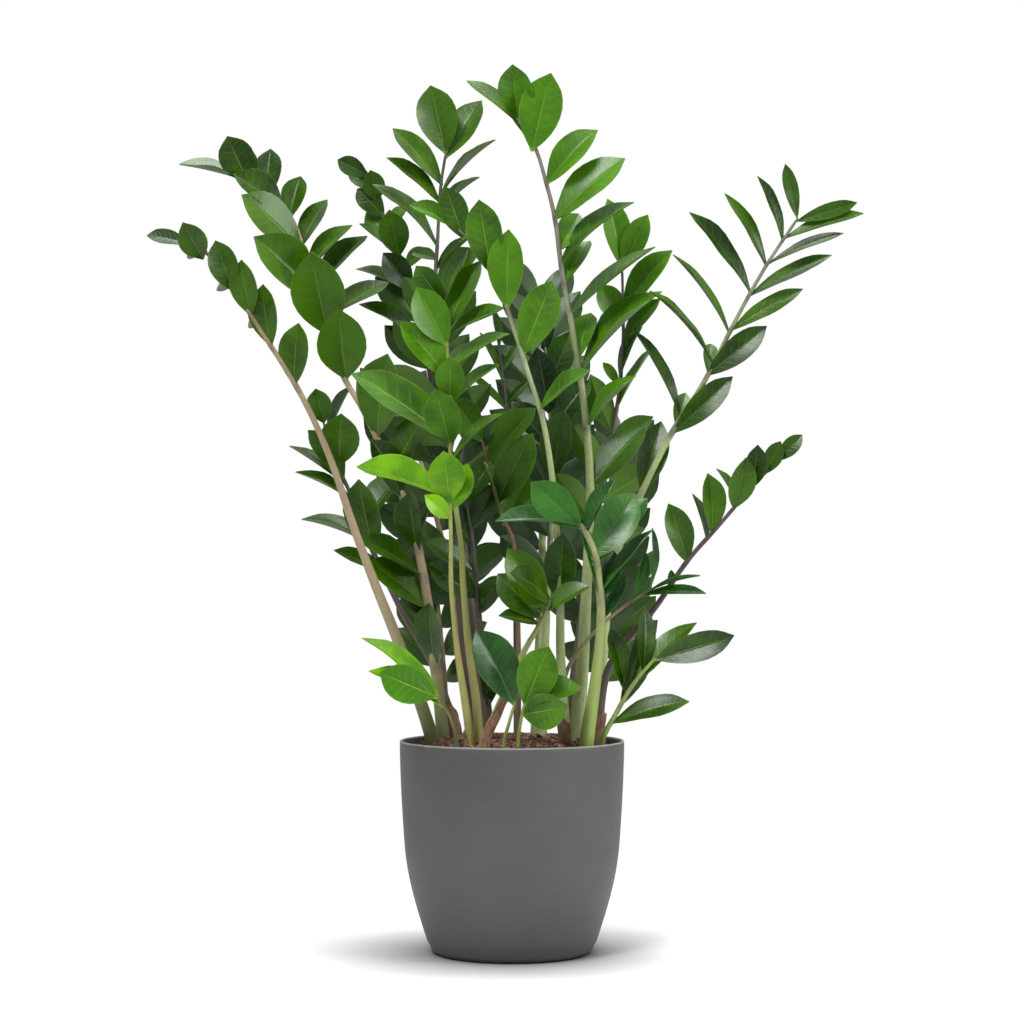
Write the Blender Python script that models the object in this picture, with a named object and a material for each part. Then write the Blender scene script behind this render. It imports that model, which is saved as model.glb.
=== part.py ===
"""A potted ZZ plant: a round tapered pot, its mound of bark soil, and the fronds that grow from it.

Run it with blender --background --python part.py. The frame's origin is the centre of the pot's
underside, +X is the plant's right, +Y its back and +Z up. Tables are in centimetres.

Each frond (one compound leaf: a fleshy stalk and the leaflets grown on it) is one solid.
"""

import math
from typing import NamedTuple

import bmesh
import bpy
from mathutils import Matrix, Vector
from mathutils.bvhtree import BVHTree

CM = 0.01

# Pot, in cm
POT_HEIGHT = 23.0
POT_RIM_DIAMETER = 24.5
POT_BELLY_DIAMETER = 23.4
POT_FOOT_DIAMETER = 17.6
POT_FOOT_ROUND = 0.8
POT_WALL = 0.3
POT_FLOOR = 0.5
POT_SIDES = 36
# Shares of the pot's height where its belly is and where its side has a ring
POT_BELLY = 0.5
POT_RINGS = (0.09, 0.22, 0.38, 0.55, 0.75, 1.0)
# The side below the belly: how much of its spread is straight, the rest being a bulge
POT_TAPER = 0.35
POT_STRAIGHTENING = 1.6
# The rounded foot's middle point, in from the foot and up, as shares of the round
POT_FOOT_CORNER = (0.3, 0.25)

# Soil, in cm
SOIL_BELOW_RIM = 2.6
SOIL_MOUND = 2.9
SOIL_SHOULDER = 2.4
SOIL_CROWN = 0.32
SOIL_GAP = 0.09
SOIL_SIDES = 24
# Rings up its side as shares of its depth, then in over its top as shares of its radius
SOIL_SIDE_RINGS = (0.15, 0.45, 1.0)
SOIL_TOP_RINGS = (0.92, 0.8, 0.5, 0)

# Plant, in cm. Route heights are measured from the pot's underside with its rim at RIM_DATUM.
RIM_DATUM = 23.0
MOUTH_DATUM = 24.5
GATHER_HEIGHT = 14.0
STEM_GIRTH = 1.0
STEM_SIDES = 6
STEM_RING_SPACING = 8.0
STEM_FEWEST_RINGS = 4
# How much of a stalk's taper is even along it, the rest being near its foot
STEM_TAPER = 0.55
# How far above the rim the soil's pockets reach, and how near its tip a leaflet may start
POCKET_TOP = 4.0
LAST_LEAFLET = 0.995
LEAFLET_BREADTH = 1.0
LEAFLET_THICKNESS = 0.14
LEAFLET_ARCH = 0.07
LEAFLET_FOLD = 0.10
LEAFLET_ROOM = 0.16
STEM_ROOM = 0.12
SHEATH_THICKNESS = 0.12
SHEATH_SIDES = 5
SHEATH_RINGS = 4
# How much narrower a sheath's wrap and how much wider its bore is at its torn top
SHEATH_TEAR = 0.35
SHEATH_FLARE = 0.12
CLEARANCE = 0.03

# Along a leaflet from 0 at its stalk to 1 at its tip: half its breadth as a share of the whole
LEAFLET_OUTLINE = ((0.34, 0.46), (0.72, 0.40))
LEAFLET_TRIM = 0.22

# A row's leaflets: their rise from square to the stalk, in degrees at the row's foot and its gain
# by the top; how far the faces lean back; and their size, which swells mid-row and varies in threes
ROW_RISE = 32
ROW_RISE_GAIN = 26
ROW_LEAN = 0.5
ROW_SMALLEST = 0.78
ROW_SWELL = 0.22
ROW_VARIETY = 0.06

# How far a leaflet may be turned about its stalk, in degrees, and shrunk, to find room
TURNS = (0, 8, -8, 16, -16, 25, -25, 35, -35, 46, -46, 58, -58, 72, -72, 88, -88, 106, -106)
SHRINKS = (1.0, 0.85, 0.7, 0.55, 0.4, 0.28)

# Leaf and stem colours, linear
BRIGHT = (0.075, 0.24, 0.016, 1)
LIME = (0.16, 0.42, 0.022, 1)
MIDDLE = (0.035, 0.14, 0.014, 1)
DARK = (0.012, 0.06, 0.013, 1)
TEAL = (0.022, 0.12, 0.055, 1)
OLIVE = (0.085, 0.15, 0.022, 1)
POT_GREY = (0.115, 0.11, 0.108, 1)
SOIL_BROWN = (0.10, 0.045, 0.026, 1)
SHEATH_BROWN = (0.21, 0.105, 0.06, 1)


class Frond(NamedTuple):
    """A stalk through its route, (x, y, z), thick at its foot and thin at its tip.

    Each leaflet is (height where it leaves the stalk, reach right, reach back, reach up, breadth
    seen from the front); a negative breadth shows its underside. Each row is (lowest height,
    highest height, pairs, length, breadth, heading in degrees of its right-hand leaflets).
    """

    name: str
    colour: tuple
    foot: float
    tip: float
    slimness: float
    route: tuple
    leaflets: tuple
    rows: tuple = ()


FRONDS = (
    Frond(
        "far_left_frond", MIDDLE, 0.90, 0.18, 0.52,
        ((-8.3, -2.6, 18), (-8.6, -2.8, 23.2), (-12, -3.6, 33.1), (-14.7, -4.6, 40),
         (-16.9, -5.6, 46), (-19.4, -7, 53.5), (-22.4, -8.4, 60.2), (-26.8, -10, 67.3),
         (-31.6, -11.4, 74.4), (-33.9, -12, 75.8)),
        ((75.7, -4.4, -0.5, 0.9, 1.7), (74.2, -1.7, -3.3, 3.4, 3.0), (70.9, -1.7, -1.5, 5.2, 3.1),
         (68.4, -0.8, -1.5, 5.8, 3.1), (65.2, -0.8, -1, 6.5, 3.2), (61.1, 0.5, -1, 6.6, 3.3),
         (74.7, -1.2, 4.6, 2.2, 1.4), (71.3, -1, 5.2, 2.8, 1.2), (67.4, -0.6, 5.6, 3, 1.2)),
    ),
    Frond(
        "upper_left_frond", MIDDLE, 0.85, 0.16, 0.56,
        ((-7.2, 1.5, 18), (-7.6, 1.5, 23.5), (-8.4, 1.7, 31), (-9.6, 2, 40), (-11.1, 2.4, 47),
         (-13.4, 3, 52.6), (-16.2, 3.6, 58.7), (-18.5, 4, 62.6), (-20.1, 4.4, 66),
         (-21.7, 4.8, 70.5), (-23, 5.2, 76.6), (-24.8, 5.6, 81.2), (-27.6, 5.9, 84.5),
         (-30.1, 6, 85.4)),
        ((85.3, -7.2, -1, 1.6, 1.2), (84.9, -2.2, -1.8, 5.0, 4.0), (83.1, 0.4, 0.8, 5.8, 3.2),
         (80.8, 1.2, 1, 5, 2.8), (77.7, 2.8, 1.4, 5.5, 2.6), (75.1, 4.9, 1.4, 5.2, 2.4),
         (72.3, 5.8, 1.8, 6.8, 2.6), (69.5, 7.3, 2.2, 4.4, 2.5), (84.1, -5.4, -1.4, 3, 2.0),
         (81.3, -5.4, -2.8, 4.2, 3.2), (77.1, -6.9, -3.4, 5.6, 4.4),
         (71.9, -7, -4, 6, 5.2), (67.7, -1.5, -4, 8.8, 6.0), (62.7, -0.6, -4, 7.5, 5.5),
         (56.2, 1.4, -4, 9, 5.0), (41, -6.7, -2.8, 4, 2.0), (37.3, -6.5, -3.4, 5.2, 3.0),
         (36, -3.3, 0.4, 2.5, 1.6), (43.5, -0.8, -1.8, 6.7, 3.0), (44.4, 2, -0.5, 4.8, 0.8),
         (31, -0.6, -2.4, 7, 3.0), (49.5, -3.4, -2.6, 6.4, 3.2), (52, 3.6, -1.8, 6.6, 3.2)),
    ),
    Frond(
        "back_left_frond", DARK, 0.75, 0.15, 0.46,
        ((-4, 6, 18), (-4.5, 6.5, 23.5), (-6.6, 9, 45), (-9.2, 12.4, 62.6), (-11.2, 14.2, 73),
         (-13.1, 15, 78.2), (-15.4, 15.6, 83.8), (-16.9, 16, 87.8)),
        ((87.3, -3.6, 0, 1.9, 2.3), (85.6, -2.9, 1.6, 2.8, 2.2), (84.4, -0.8, -1.5, 3.3, 2.6),
         (82.4, -3.2, 0.6, 3.4, 2.8), (79.6, -3.3, 1.6, 3.6, 2.6), (77.8, -1.1, -2.2, 5.1, 3.5),
         (74, -3.2, -2, 3.9, 3.2), (77, -4.6, -1.5, 4.6, 0.9), (73, -6.6, -1, 3.4, 1.2),
         (67.6, -7.4, -1, 4.4, 1.6), (80.8, 1.8, 1.8, 3.2, 1.6), (76.2, 2.4, 1.4, 2.8, 1.7)),
        ((40, 70, 6, 8.2, 3.6, 10),),
    ),
    Frond(
        "top_centre_frond", MIDDLE, 0.80, 0.15, 0.46,
        ((-2.5, 4.5, 18), (-3, 4.6, 24), (-5.5, 5.6, 45), (-7.8, 7, 60.2), (-8.6, 8, 73),
         (-8.4, 8.5, 79.1), (-8.1, 8.8, 84.7), (-7.5, 9, 88.9)),
        ((88.7, -1.7, -1.2, 7.6, 4.6), (88.2, 4.1, 1, 6.8, 3.4), (85.1, -5.6, 0, 6.5, 2.6),
         (83.1, -6, -1, 5, 1.9), (84.2, 6.1, 1, 6.3, 0.8), (82.1, 4.5, 1.5, 4.2, 0.8),
         (78.1, -7.3, -1, 6.9, 1.7), (76.6, -2.8, 3, 1.2, 1.6), (75.5, 4, 1, 4, 1.0),
         (73.3, 4.6, 2, 4.8, 3.0)),
        ((46, 69, 5, 8.2, 3.6, 12),),
    ),
    Frond(
        "light_centre_frond", BRIGHT, 0.70, 0.16, 0.46,
        ((5.6, -5, 18), (5.7, -5.2, 23.3), (5.2, -6.2, 32.3), (5.1, -7.2, 38.1), (4.7, -8.6, 45.9),
         (4.2, -9.8, 51.7), (3.3, -10.8, 57.1), (2, -11.6, 61.3), (0, -12.4, 67.4),
         (-1.4, -13, 71.5), (-3.8, -13.6, 75.4), (-6.1, -14, 77.4)),
        ((77.2, -4.7, -0.5, 2.3, 1.8), (76, -1.9, -0.6, 5.4, 3.0),
         (72.5, -1.2, -1, 7.6, 3.8), (68.8, 0.2, -1, 8.3, 3.9), (64.1, 3.1, -1, 7.7, 4.1),
         (58.3, 5.3, -1.5, 4.2, 1.6), (38, 0.4, -1.9, 7.5, 3.5)),
    ),
    Frond(
        "tallest_frond", BRIGHT, 0.95, 0.18, 0.46,
        ((6.8, -0.6, 18), (7, -0.6, 23), (7.6, -0.6, 30), (8, -0.5, 37), (8.5, -0.5, 48),
         (8.4, -0.5, 54), (7.7, -0.5, 61), (6.6, -0.5, 68), (5.5, -0.5, 74), (4.7, -0.5, 80),
         (3.6, -0.5, 84.5), (2.6, -0.5, 87.7), (1.3, -0.5, 89.8), (0.6, -0.5, 91)),
        ((90.9, -0.6, -2.4, 5.6, 3.8), (90.4, -5.8, 0, 4.8, 1.8), (90.7, -3, 1.5, 4.3, 1.5),
         (89.4, -4.2, -1, 3.6, -2.0), (87.4, 2.3, -1.5, 8.3, 4.8), (83.8, 5.6, -1, 5.8, 3.3),
         (79.8, 7.8, -1, 6.7, 3.8), (75, 7.9, -1, 6.7, 2.0), (76.5, 2.3, 3, 4.5, 3.0),
         (73, 2.9, 3, 5, 2.5), (69.5, 9.3, -0.5, 7.4, 1.6), (63, 9, -0.5, 9, 1.8),
         (57, 5.4, -0.5, 5.8, 1.0), (64.5, 1.6, 3, 5.5, 2.7), (50.5, 6.2, 1.5, 7, 3.5)),
    ),
    Frond(
        "right_centre_frond", BRIGHT, 0.65, 0.15, 0.42,
        ((5.8, 4.5, 18), (6.2, 4.6, 24), (8.6, 6.2, 42), (11.7, 9, 58.8), (12.5, 10.2, 65.2),
         (12.7, 11, 69.8), (12.6, 12, 76.4)),
        ((76.2, -1.7, -1, 7.7, 3.2), (75.8, 2.9, -1, 6.3, 2.9), (70.8, 5.5, -2, 7, 3.0),
         (69.8, -2.7, -1, 4.2, 3.0), (67.7, 4.2, -0.5, 4.7, 2.0), (63.5, 2.6, 1, 5.8, 1.2),
         (62.5, -1.8, 0, 2.6, 1.2), (59.9, 4.2, 0, 7, 0.8)),
        ((44, 57, 3, 7.6, 3.2, 15),),
    ),
    Frond(
        "right_fern_frond", MIDDLE, 0.80, 0.16, 0.24,
        ((8.4, 2.2, 18), (8.8, 2.2, 23), (9.8, 2, 30), (10.5, 1.8, 38), (12, 1.4, 45),
         (14.2, 0.8, 50), (17.4, 0, 56.4), (20.8, -1, 61.8), (23.3, -2, 66.7),
         (25.2, -2.6, 70.4), (27.7, -3.4, 74.8), (30.9, -4, 79.6)),
        ((79.5, -1.3, 0, 6, 1.6), (79.2, 6.7, 0, 2.1, 1.7), (77.5, 8.4, -0.5, 2.6, 1.5),
         (74.8, 8, -0.5, 3.2, 1.1), (71.3, 8.9, -0.5, 4.4, 1.6), (67.6, 7.8, -0.5, 4.5, 1.9),
         (62.7, 6.6, -1, 5.4, 2.9), (56.5, 6.5, -1, 6.2, 2.9), (77.1, -2.7, 0, 7.1, 1.3),
         (74.4, -4.5, 0, 8, 1.5), (71.6, -6.6, 0, 8.8, 1.9), (67.3, -6.1, 0, 8.6, 0.9),
         (64.1, -6.9, 0, 8, 0.7), (58.2, -5.2, 0, 9.7, 1.2), (63.1, 0.6, 3, 3.4, 1.6),
         (57.2, 1.3, 3.2, 4, 1.9), (49.8, 2.3, 1.5, 8.2, 3.4)),
    ),
    Frond(
        "right_low_frond", MIDDLE, 0.65, 0.15, 0.46,
        ((8.9, -2.6, 18), (9.3, -2.8, 24), (10.1, -3, 30), (11.9, -3.4, 33.3), (15.4, -4, 37.5),
         (18.8, -4.8, 42.5), (22.2, -5.6, 46.4), (25.5, -6.4, 50.3), (28.4, -7, 53.4)),
        ((53.2, 2.7, -0.5, 2.8, 1.8), (51.8, 1.6, -1, 3.5, 2.0), (50.3, 0.5, -1.5, 4.6, 2.5),
         (48.1, 1, -1.5, 5.7, 3.0), (48.6, -2.1, 1.5, 3.9, 0.9), (45.4, -0.5, -1.5, 6.5, 2.6),
         (44.8, -1.4, 1.5, 5, 0.9), (42.3, -2.1, -1, 6.4, 3.0), (39.8, 0.2, -1, 1.8, 0.8)),
    ),
    Frond(
        "thin_right_frond", TEAL, 0.42, 0.14, 0.26,
        ((5, -2.4, 18), (5.4, -2.6, 23), (5.7, -3.2, 30), (8.6, -4, 34.6), (12.9, -4.6, 38.3),
         (15.1, -5, 39.6)),
        ((39.5, 6, -0.5, 0.7, 1.0), (38.9, 6.6, -1.5, 0.2, 1.0), (39.3, 0.4, 0, 6.8, 0.7),
         (38, 1.5, 0, 5.6, 1.2)),
    ),
    Frond(
        "front_stout_frond", DARK, 1.05, 0.30, 0.40,
        ((7.6, -6.6, 18), (7.9, -6.8, 23), (8.9, -7.8, 30.1), (9.4, -9, 36), (9.2, -10.2, 40),
         (8.8, -11, 42.9), (8.1, -11.6, 44.8), (7.2, -12, 46.4)),
        ((46.3, -9, -1, 0.4, 1.5), (45.9, -5.4, -0.5, 4.9, 3.8), (45.5, 3.2, -1, 5.5, 1.4),
         (45, 2.7, 0.4, 5.8, 1.2), (42.7, 4.7, 1.5, 7, 4.3), (42, 6.6, 3, 7.2, 2.9),
         (39.3, 5.7, 1, 6.6, 1.2), (38, 2.5, 1.4, 5.5, 2.4), (36, 2.7, 1.8, 5.5, 2.4),
         (38.5, -2.1, -0.5, 8, 1.4)),
    ),
    Frond(
        "young_low_frond", LIME, 0.62, 0.18, 0.50,
        ((-4.6, -6.4, 18), (-4.5, -6.6, 23.5), (-5.1, -7.4, 28.3), (-5.7, -8.4, 32.3),
         (-6.1, -9.4, 36.3), (-6.4, -10.4, 40.1), (-6.4, -11.4, 44.9), (-6.5, -12, 49.3)),
        ((49.2, -9.7, -0.5, 3.2, 2.6), (48.8, -0.6, -2.5, 5.1, 3.9), (47.8, 1.9, -1, 4.9, 2.8),
         (47, -2.6, -2, 2.4, 2.0)),
    ),
    Frond(
        "young_tall_frond", BRIGHT, 0.60, 0.16, 0.50,
        ((-3, -4.6, 18), (-3.5, -4.8, 23.6), (-3.9, -5.4, 28.2), (-4.6, -6.2, 33.1), (-5.2, -7, 40),
         (-5.4, -7.6, 44), (-6.1, -8.4, 49.4), (-6.5, -9.2, 54.6), (-6.4, -10, 59.3),
         (-6.8, -10.6, 64.6), (-7.1, -11.2, 70)),
        ((54.6, -1.6, -2.2, 6, 3.9), (55.2, -10.4, -1, 7.1, 3.9), (59.4, 0.1, -1.7, 4.6, 3.1),
         (58.9, 5.2, -1, 4.3, 1.2), (62.7, 6.4, -1, 3.7, 1.6), (53.3, 5.3, -1, 4.8, 1.0),
         (61.7, -5.1, -1.5, 5.8, 3.4), (65.2, -3.2, -1.5, 6, 3.8), (66.7, 3.6, 0.4, 7.5, 3.0),
         (69.5, -2.8, -1.5, 3.9, 2.9), (66.2, 6, -1, 2.9, 1.6), (69.9, 2.4, 0.6, 5.4, 1.6)),
    ),
    Frond(
        "red_stem_frond", OLIVE, 0.45, 0.14, 0.50,
        ((0.6, -2.6, 18), (0.6, -2.7, 23.4), (0.7, -2.8, 33), (0.3, -3, 43.8), (-1.2, -3, 47.5),
         (-2.2, -3, 51.5), (-3.3, -3, 55.7)),
        ((48.8, 3.8, -1.5, 7.5, 4.1), (53, 5.2, 0, 6.2, 3.0), (46.4, 2.8, 1.5, 5.4, 3.0),
         (47.3, -1.9, -0.8, 6, 1.5), (55.5, -3.2, 0, 4.8, 3.3)),
    ),
    Frond(
        "thin_back_frond", DARK, 0.40, 0.10, 0.26,
        ((0.5, 6.5, 18), (0.5, 6.8, 24), (0.2, 9, 45), (-0.6, 10.5, 60), (-1.1, 11, 64),
         (-1.5, 11, 67)),
        ((63, -2.6, 0, 5.6, 0.8), (59.8, -4.4, 0, 4, 1.0), (64.2, 1.9, 0, 3.2, 1.0),
         (60.4, 2.7, 0, 2.8, 1.0), (66.8, -0.8, 0, 4.6, 0.9)),
    ),
    Frond(
        "back_centre_frond", DARK, 0.70, 0.15, 0.46,
        ((3.2, 3.6, 18), (3.3, 3.8, 24), (4, 5.4, 40), (4.6, 7, 52.2), (4.2, 8.2, 60.6),
         (3.6, 9, 69)),
        ((51.5, 1.2, -1.4, 8, 3.5), (59, -1.5, -1.5, 7.5, 3.6), (62, 2.5, 0, 6.5, 3.2),
         (66, -1.5, 0.6, 7, 3.0), (55, -4.5, 1, 5.5, 3.0), (57, 4.5, 1, 6, 3.2),
         (68.7, 1, 0.4, 6, 3.0)),
        ((38, 50, 3, 7.6, 3.4, 20),),
    ),
    Frond(
        "left_dark_frond", DARK, 0.75, 0.15, 0.54,
        ((-5.8, 4, 18), (-6.4, 4.2, 24), (-7.4, 4.6, 27), (-8.9, 5.2, 31.3), (-11.8, 6.6, 36),
         (-13.4, 7.6, 39), (-16.1, 9, 44.5), (-18.4, 10.2, 50.3), (-20.6, 11.2, 54.9),
         (-21.6, 12, 58.6)),
        ((58.3, -0.9, -1, 3.9, 2.9), (56.9, 2.6, 0.6, 5.8, 1.3), (53.4, 0.4, -2.5, 5.8, 4.6),
         (51.8, -4, -1, 5.6, 3.0), (51.2, -6.5, 0.8, 4.5, 0.7), (49.5, -6.4, 0, 3.2, 1.0),
         (44.5, -7.7, 0, 2.8, 1.0), (41, -5.7, 0, 2.8, 1.6), (43.5, -1.6, -2.5, 8.2, 4.2),
         (46.5, 4.5, 2.5, 6, 3.0), (40, 3.4, 3, 5.6, 2.8)),
    ),
    Frond(
        "dark_centre_frond", DARK, 0.55, 0.14, 0.50,
        ((-2.2, -1, 18), (-2.4, -1, 24), (-3.2, -1.2, 33), (-3.7, -1.4, 38), (-4.2, -1.6, 44),
         (-5, -1.8, 50), (-5.4, -2, 56.2)),
        ((41.2, -5.4, -2, 3.4, 2.2), (38.5, -5.4, -2, 3.8, 3.2), (46, 3, -0.5, 5, 2.4),
         (50, -4.5, -0.5, 5, 3.0), (53, 3.2, 0, 5.5, 2.8), (56, -1.2, 0, 6.5, 3.0),
         (44, -4, 0.8, 5.5, 2.6), (49, 3.2, 1.2, 5.2, 2.8), (37, 2.2, -1.5, 4, 1.3),
         (26.6, -1, -1.4, 6.4, 2.4)),
    ),
    Frond(
        "front_middle_frond", TEAL, 0.80, 0.22, 0.50,
        ((-3.0, -7.8, 18), (-2.9, -7.6, 23.2), (-1.8, -7.7, 26), (-0.6, -7.9, 28.8),
         (1.4, -8.4, 33.2), (3.3, -9, 36.4), (4.1, -9.4, 38.4)),
        ((35.9, -4.2, -1, 0.9, 1.4), (36.9, -3.8, -1, 7, 3.8), (37.8, -3.2, -2, 2.6, 2.6),
         (37.3, 4.6, -0.8, 2.6, 1.8), (38.3, -6, -0.5, 5, 2.8), (36.4, -4.6, 0.8, 4.8, 3.4)),
    ),
    Frond(
        "front_teal_frond", TEAL, 0.30, 0.16, 0.52,
        ((-1.2, -8.4, 18), (-0.9, -8.7, 23), (-0.3, -9.4, 25.5), (0.3, -10, 27.6)),
        ((27.4, -4, -1, 8, 4.4),),
    ),
    Frond(
        "front_cupped_frond", BRIGHT, 0.30, 0.16, 0.62,
        ((0.5, -8.6, 18), (0.6, -9, 23), (0.9, -9.9, 25.5), (1.3, -10.6, 27.6)),
        ((27.4, 2.6, -1, 6.2, 4.3), (26.4, 4.8, -2.6, 1, 3.9), (27, 6.2, -0.5, 2, 2.2)),
    ),
    Frond(
        "left_short_frond", BRIGHT, 0.32, 0.16, 0.42,
        ((-5.4, -7, 18), (-5.8, -7.4, 23), (-6.6, -8.6, 26.2), (-8, -10, 28.4)),
        ((28.2, -6, -1.5, 2.7, 4.0), (27.6, -8.4, 1.5, 6.8, 1.5), (27.1, -8, 1.2, 3.8, 1.6)),
    ),
    Frond(
        "right_base_frond", MIDDLE, 0.45, 0.18, 0.34,
        ((9.2, -4.7, 18), (9.6, -4.9, 23), (11, -5.8, 26), (12.8, -7.2, 29.3), (15.2, -8.6, 32.3)),
        ((25.2, 8.2, -1.4, 2.4, 2.1), (27, 2.6, 1, 8.8, 2.6), (32.1, 8.4, -1.2, 2.6, 3.1),
         (29.6, 7.4, -0.6, 5.4, 0.8), (30.6, 0.3, 1.5, 7, 2.0), (28.2, -0.8, 1.6, 7.2, 2.4)),
    ),
    Frond(
        "rear_left_frond", DARK, 0.75, 0.15, 0.44,
        ((-3.8, 8.2, 18), (-4.2, 8.6, 23.5), (-6.4, 12, 38), (-10, 17.4, 52), (-13.4, 22.6, 62)),
        (),
        ((36, 61, 8, 8.4, 3.6, 20),),
    ),
    Frond(
        "rear_centre_frond", MIDDLE, 0.85, 0.15, 0.44,
        ((2.6, 8, 18), (2.8, 8.4, 23.5), (3.4, 11.4, 42), (3.6, 16, 60), (3, 21.6, 74)),
        (),
        ((42, 73, 9, 8.6, 3.8, -10),),
    ),
    Frond(
        "rear_right_frond", DARK, 0.75, 0.15, 0.44,
        ((6.6, 7, 18), (6.8, 7.4, 23.5), (8, 10.6, 36), (10.6, 15.6, 48), (12.6, 20.6, 57)),
        (),
        ((34, 56, 7, 8.2, 3.6, -20),),
    ),
    Frond(
        "rear_low_left_frond", MIDDLE, 0.55, 0.15, 0.46,
        ((-7, 7, 18), (-7.3, 7.3, 23.5), (-7.8, 10, 31), (-8.6, 13.6, 38.4), (-9.4, 17, 43)),
        (),
        ((29, 42.4, 5, 7.4, 3.4, 30),),
    ),
    Frond(
        "rear_low_right_frond", MIDDLE, 0.50, 0.15, 0.46,
        ((9, 4.8, 18), (9.2, 5.4, 23.5), (10.2, 9.4, 30.6), (11.6, 14.6, 37), (12.4, 19, 41)),
        (),
        ((29, 40.4, 5, 7.2, 3.2, -30),),
    ),
)

# Dry papery sheaths at the stalks' feet: name, the frond it wraps, lift above the soil, height,
# the direction of its opening in degrees from +X, and how much of the turn it covers in degrees
SHEATHS = (
    ("middle_sheath", "front_middle_frond", 0.1, 6.6, 150, 240),
    ("young_sheath", "young_low_frond", 0.1, 2.0, -35, 230),
    ("light_sheath", "light_centre_frond", 0.1, 3.4, 40, 250),
    ("dark_left_sheath", "left_dark_frond", 0.1, 4.6, 120, 230),
    ("right_sheath", "right_low_frond", 0.1, 4.2, 120, 240),
)


def clear_scene():
    for old in list(bpy.data.objects):
        bpy.data.objects.remove(old, do_unlink=True)


def material(name, colour, roughness):
    finish = bpy.data.materials.new(name)
    finish.use_nodes = True
    shader = finish.node_tree.nodes["Principled BSDF"]
    shader.inputs["Base Color"].default_value = colour
    shader.inputs["Roughness"].default_value = roughness
    shader.inputs["Metallic"].default_value = 0.0
    return finish


def object_from(bm, name, finish=None, smooth=0):
    """A new object of this bmesh, its faces pointing out; smooth is its sharp edges' angle."""
    bmesh.ops.recalc_face_normals(bm, faces=bm.faces)
    mesh = bpy.data.meshes.new(name)
    bm.to_mesh(mesh)
    bm.free()
    if smooth:
        mesh.shade_smooth()
        mesh.set_sharp_from_angle(angle=math.radians(smooth))
    made = bpy.data.objects.new(name, mesh)
    bpy.context.scene.collection.objects.link(made)
    if finish:
        mesh.materials.append(finish)
    return made


def cutter(bm, name):
    made = object_from(bm, name)
    made.hide_render = True
    made.display_type = "WIRE"
    return made


def boolean(target, operation, operand):
    modifier = target.modifiers.new(operation.title(), "BOOLEAN")
    modifier.operation = operation
    modifier.object = operand
    modifier.solver = "EXACT"
    modifier.use_self = True


def turned(name, profile, sides, finish):
    """The solid that a profile of (radius, height) in cm turns out, its ends on the axis."""
    bm = bmesh.new()
    verts = [bm.verts.new((radius * CM, 0, height * CM)) for radius, height in profile]
    edges = [bm.edges.new(pair) for pair in zip(verts, verts[1:])]
    bmesh.ops.spin(
        bm, geom=verts + edges, axis=(0, 0, 1), cent=(0, 0, 0), steps=sides, angle=math.tau
    )
    bmesh.ops.remove_doubles(bm, verts=bm.verts, dist=0.00001)
    return object_from(bm, name, finish, smooth=35)


def pot_radius(height):
    """The pot's outer radius at a share of its height: a tapered side that straightens upwards."""
    share = height / POT_HEIGHT
    foot = POT_FOOT_DIAMETER / 2
    belly = POT_BELLY_DIAMETER / 2
    rim = POT_RIM_DIAMETER / 2
    if share < POT_BELLY:
        up = share / POT_BELLY
        bulge = math.sin(up * math.pi / 2)
        return foot + (belly - foot) * (POT_TAPER * up + (1 - POT_TAPER) * bulge)
    left = (1 - share) / (1 - POT_BELLY)
    return belly + (rim - belly) * (1 - left**POT_STRAIGHTENING)


def pot_inner_radius(height):
    return pot_radius(height) - POT_WALL


def make_pot():
    foot = POT_FOOT_DIAMETER / 2
    heights = [POT_HEIGHT * share for share in POT_RINGS]
    inwards, up = POT_FOOT_CORNER
    profile = [(0, 0), (foot - POT_FOOT_ROUND, 0)]
    profile += [(foot - inwards * POT_FOOT_ROUND, up * POT_FOOT_ROUND)]
    profile += [(pot_radius(POT_FOOT_ROUND), POT_FOOT_ROUND)]
    profile += [(pot_radius(height), height) for height in heights]
    inner = [height for height in reversed(heights) if height > 2 * POT_FLOOR]
    profile += [(pot_inner_radius(height), height) for height in inner]
    profile += [(pot_inner_radius(POT_FLOOR), POT_FLOOR), (0, POT_FLOOR)]
    return turned("pot", profile, POT_SIDES, material("Pot grey", POT_GREY, 0.6))


def wall_radius(height):
    """The inner radius of the modelled wall, which runs straight from ring to ring."""
    low, high = next(
        (low, high)
        for low, high in zip(POT_RINGS, POT_RINGS[1:])
        if height <= high * POT_HEIGHT
    )
    share = (height / POT_HEIGHT - low) / (high - low)
    low_radius = pot_inner_radius(low * POT_HEIGHT)
    return low_radius + (pot_inner_radius(high * POT_HEIGHT) - low_radius) * share


def soil_height(radius):
    """The soil's top, a low mound with a shoulder that falls to the pot's wall."""
    edge = pot_inner_radius(POT_HEIGHT - SOIL_BELOW_RIM) - CLEARANCE
    inset = min(1.0, max(0.0, (edge - radius) / SOIL_SHOULDER))
    crown = 1 - (radius / edge) ** 2
    rise = (1 - SOIL_CROWN) * math.sin(inset * math.pi / 2) + SOIL_CROWN * crown
    return POT_HEIGHT - SOIL_BELOW_RIM + SOIL_MOUND * rise


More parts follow.
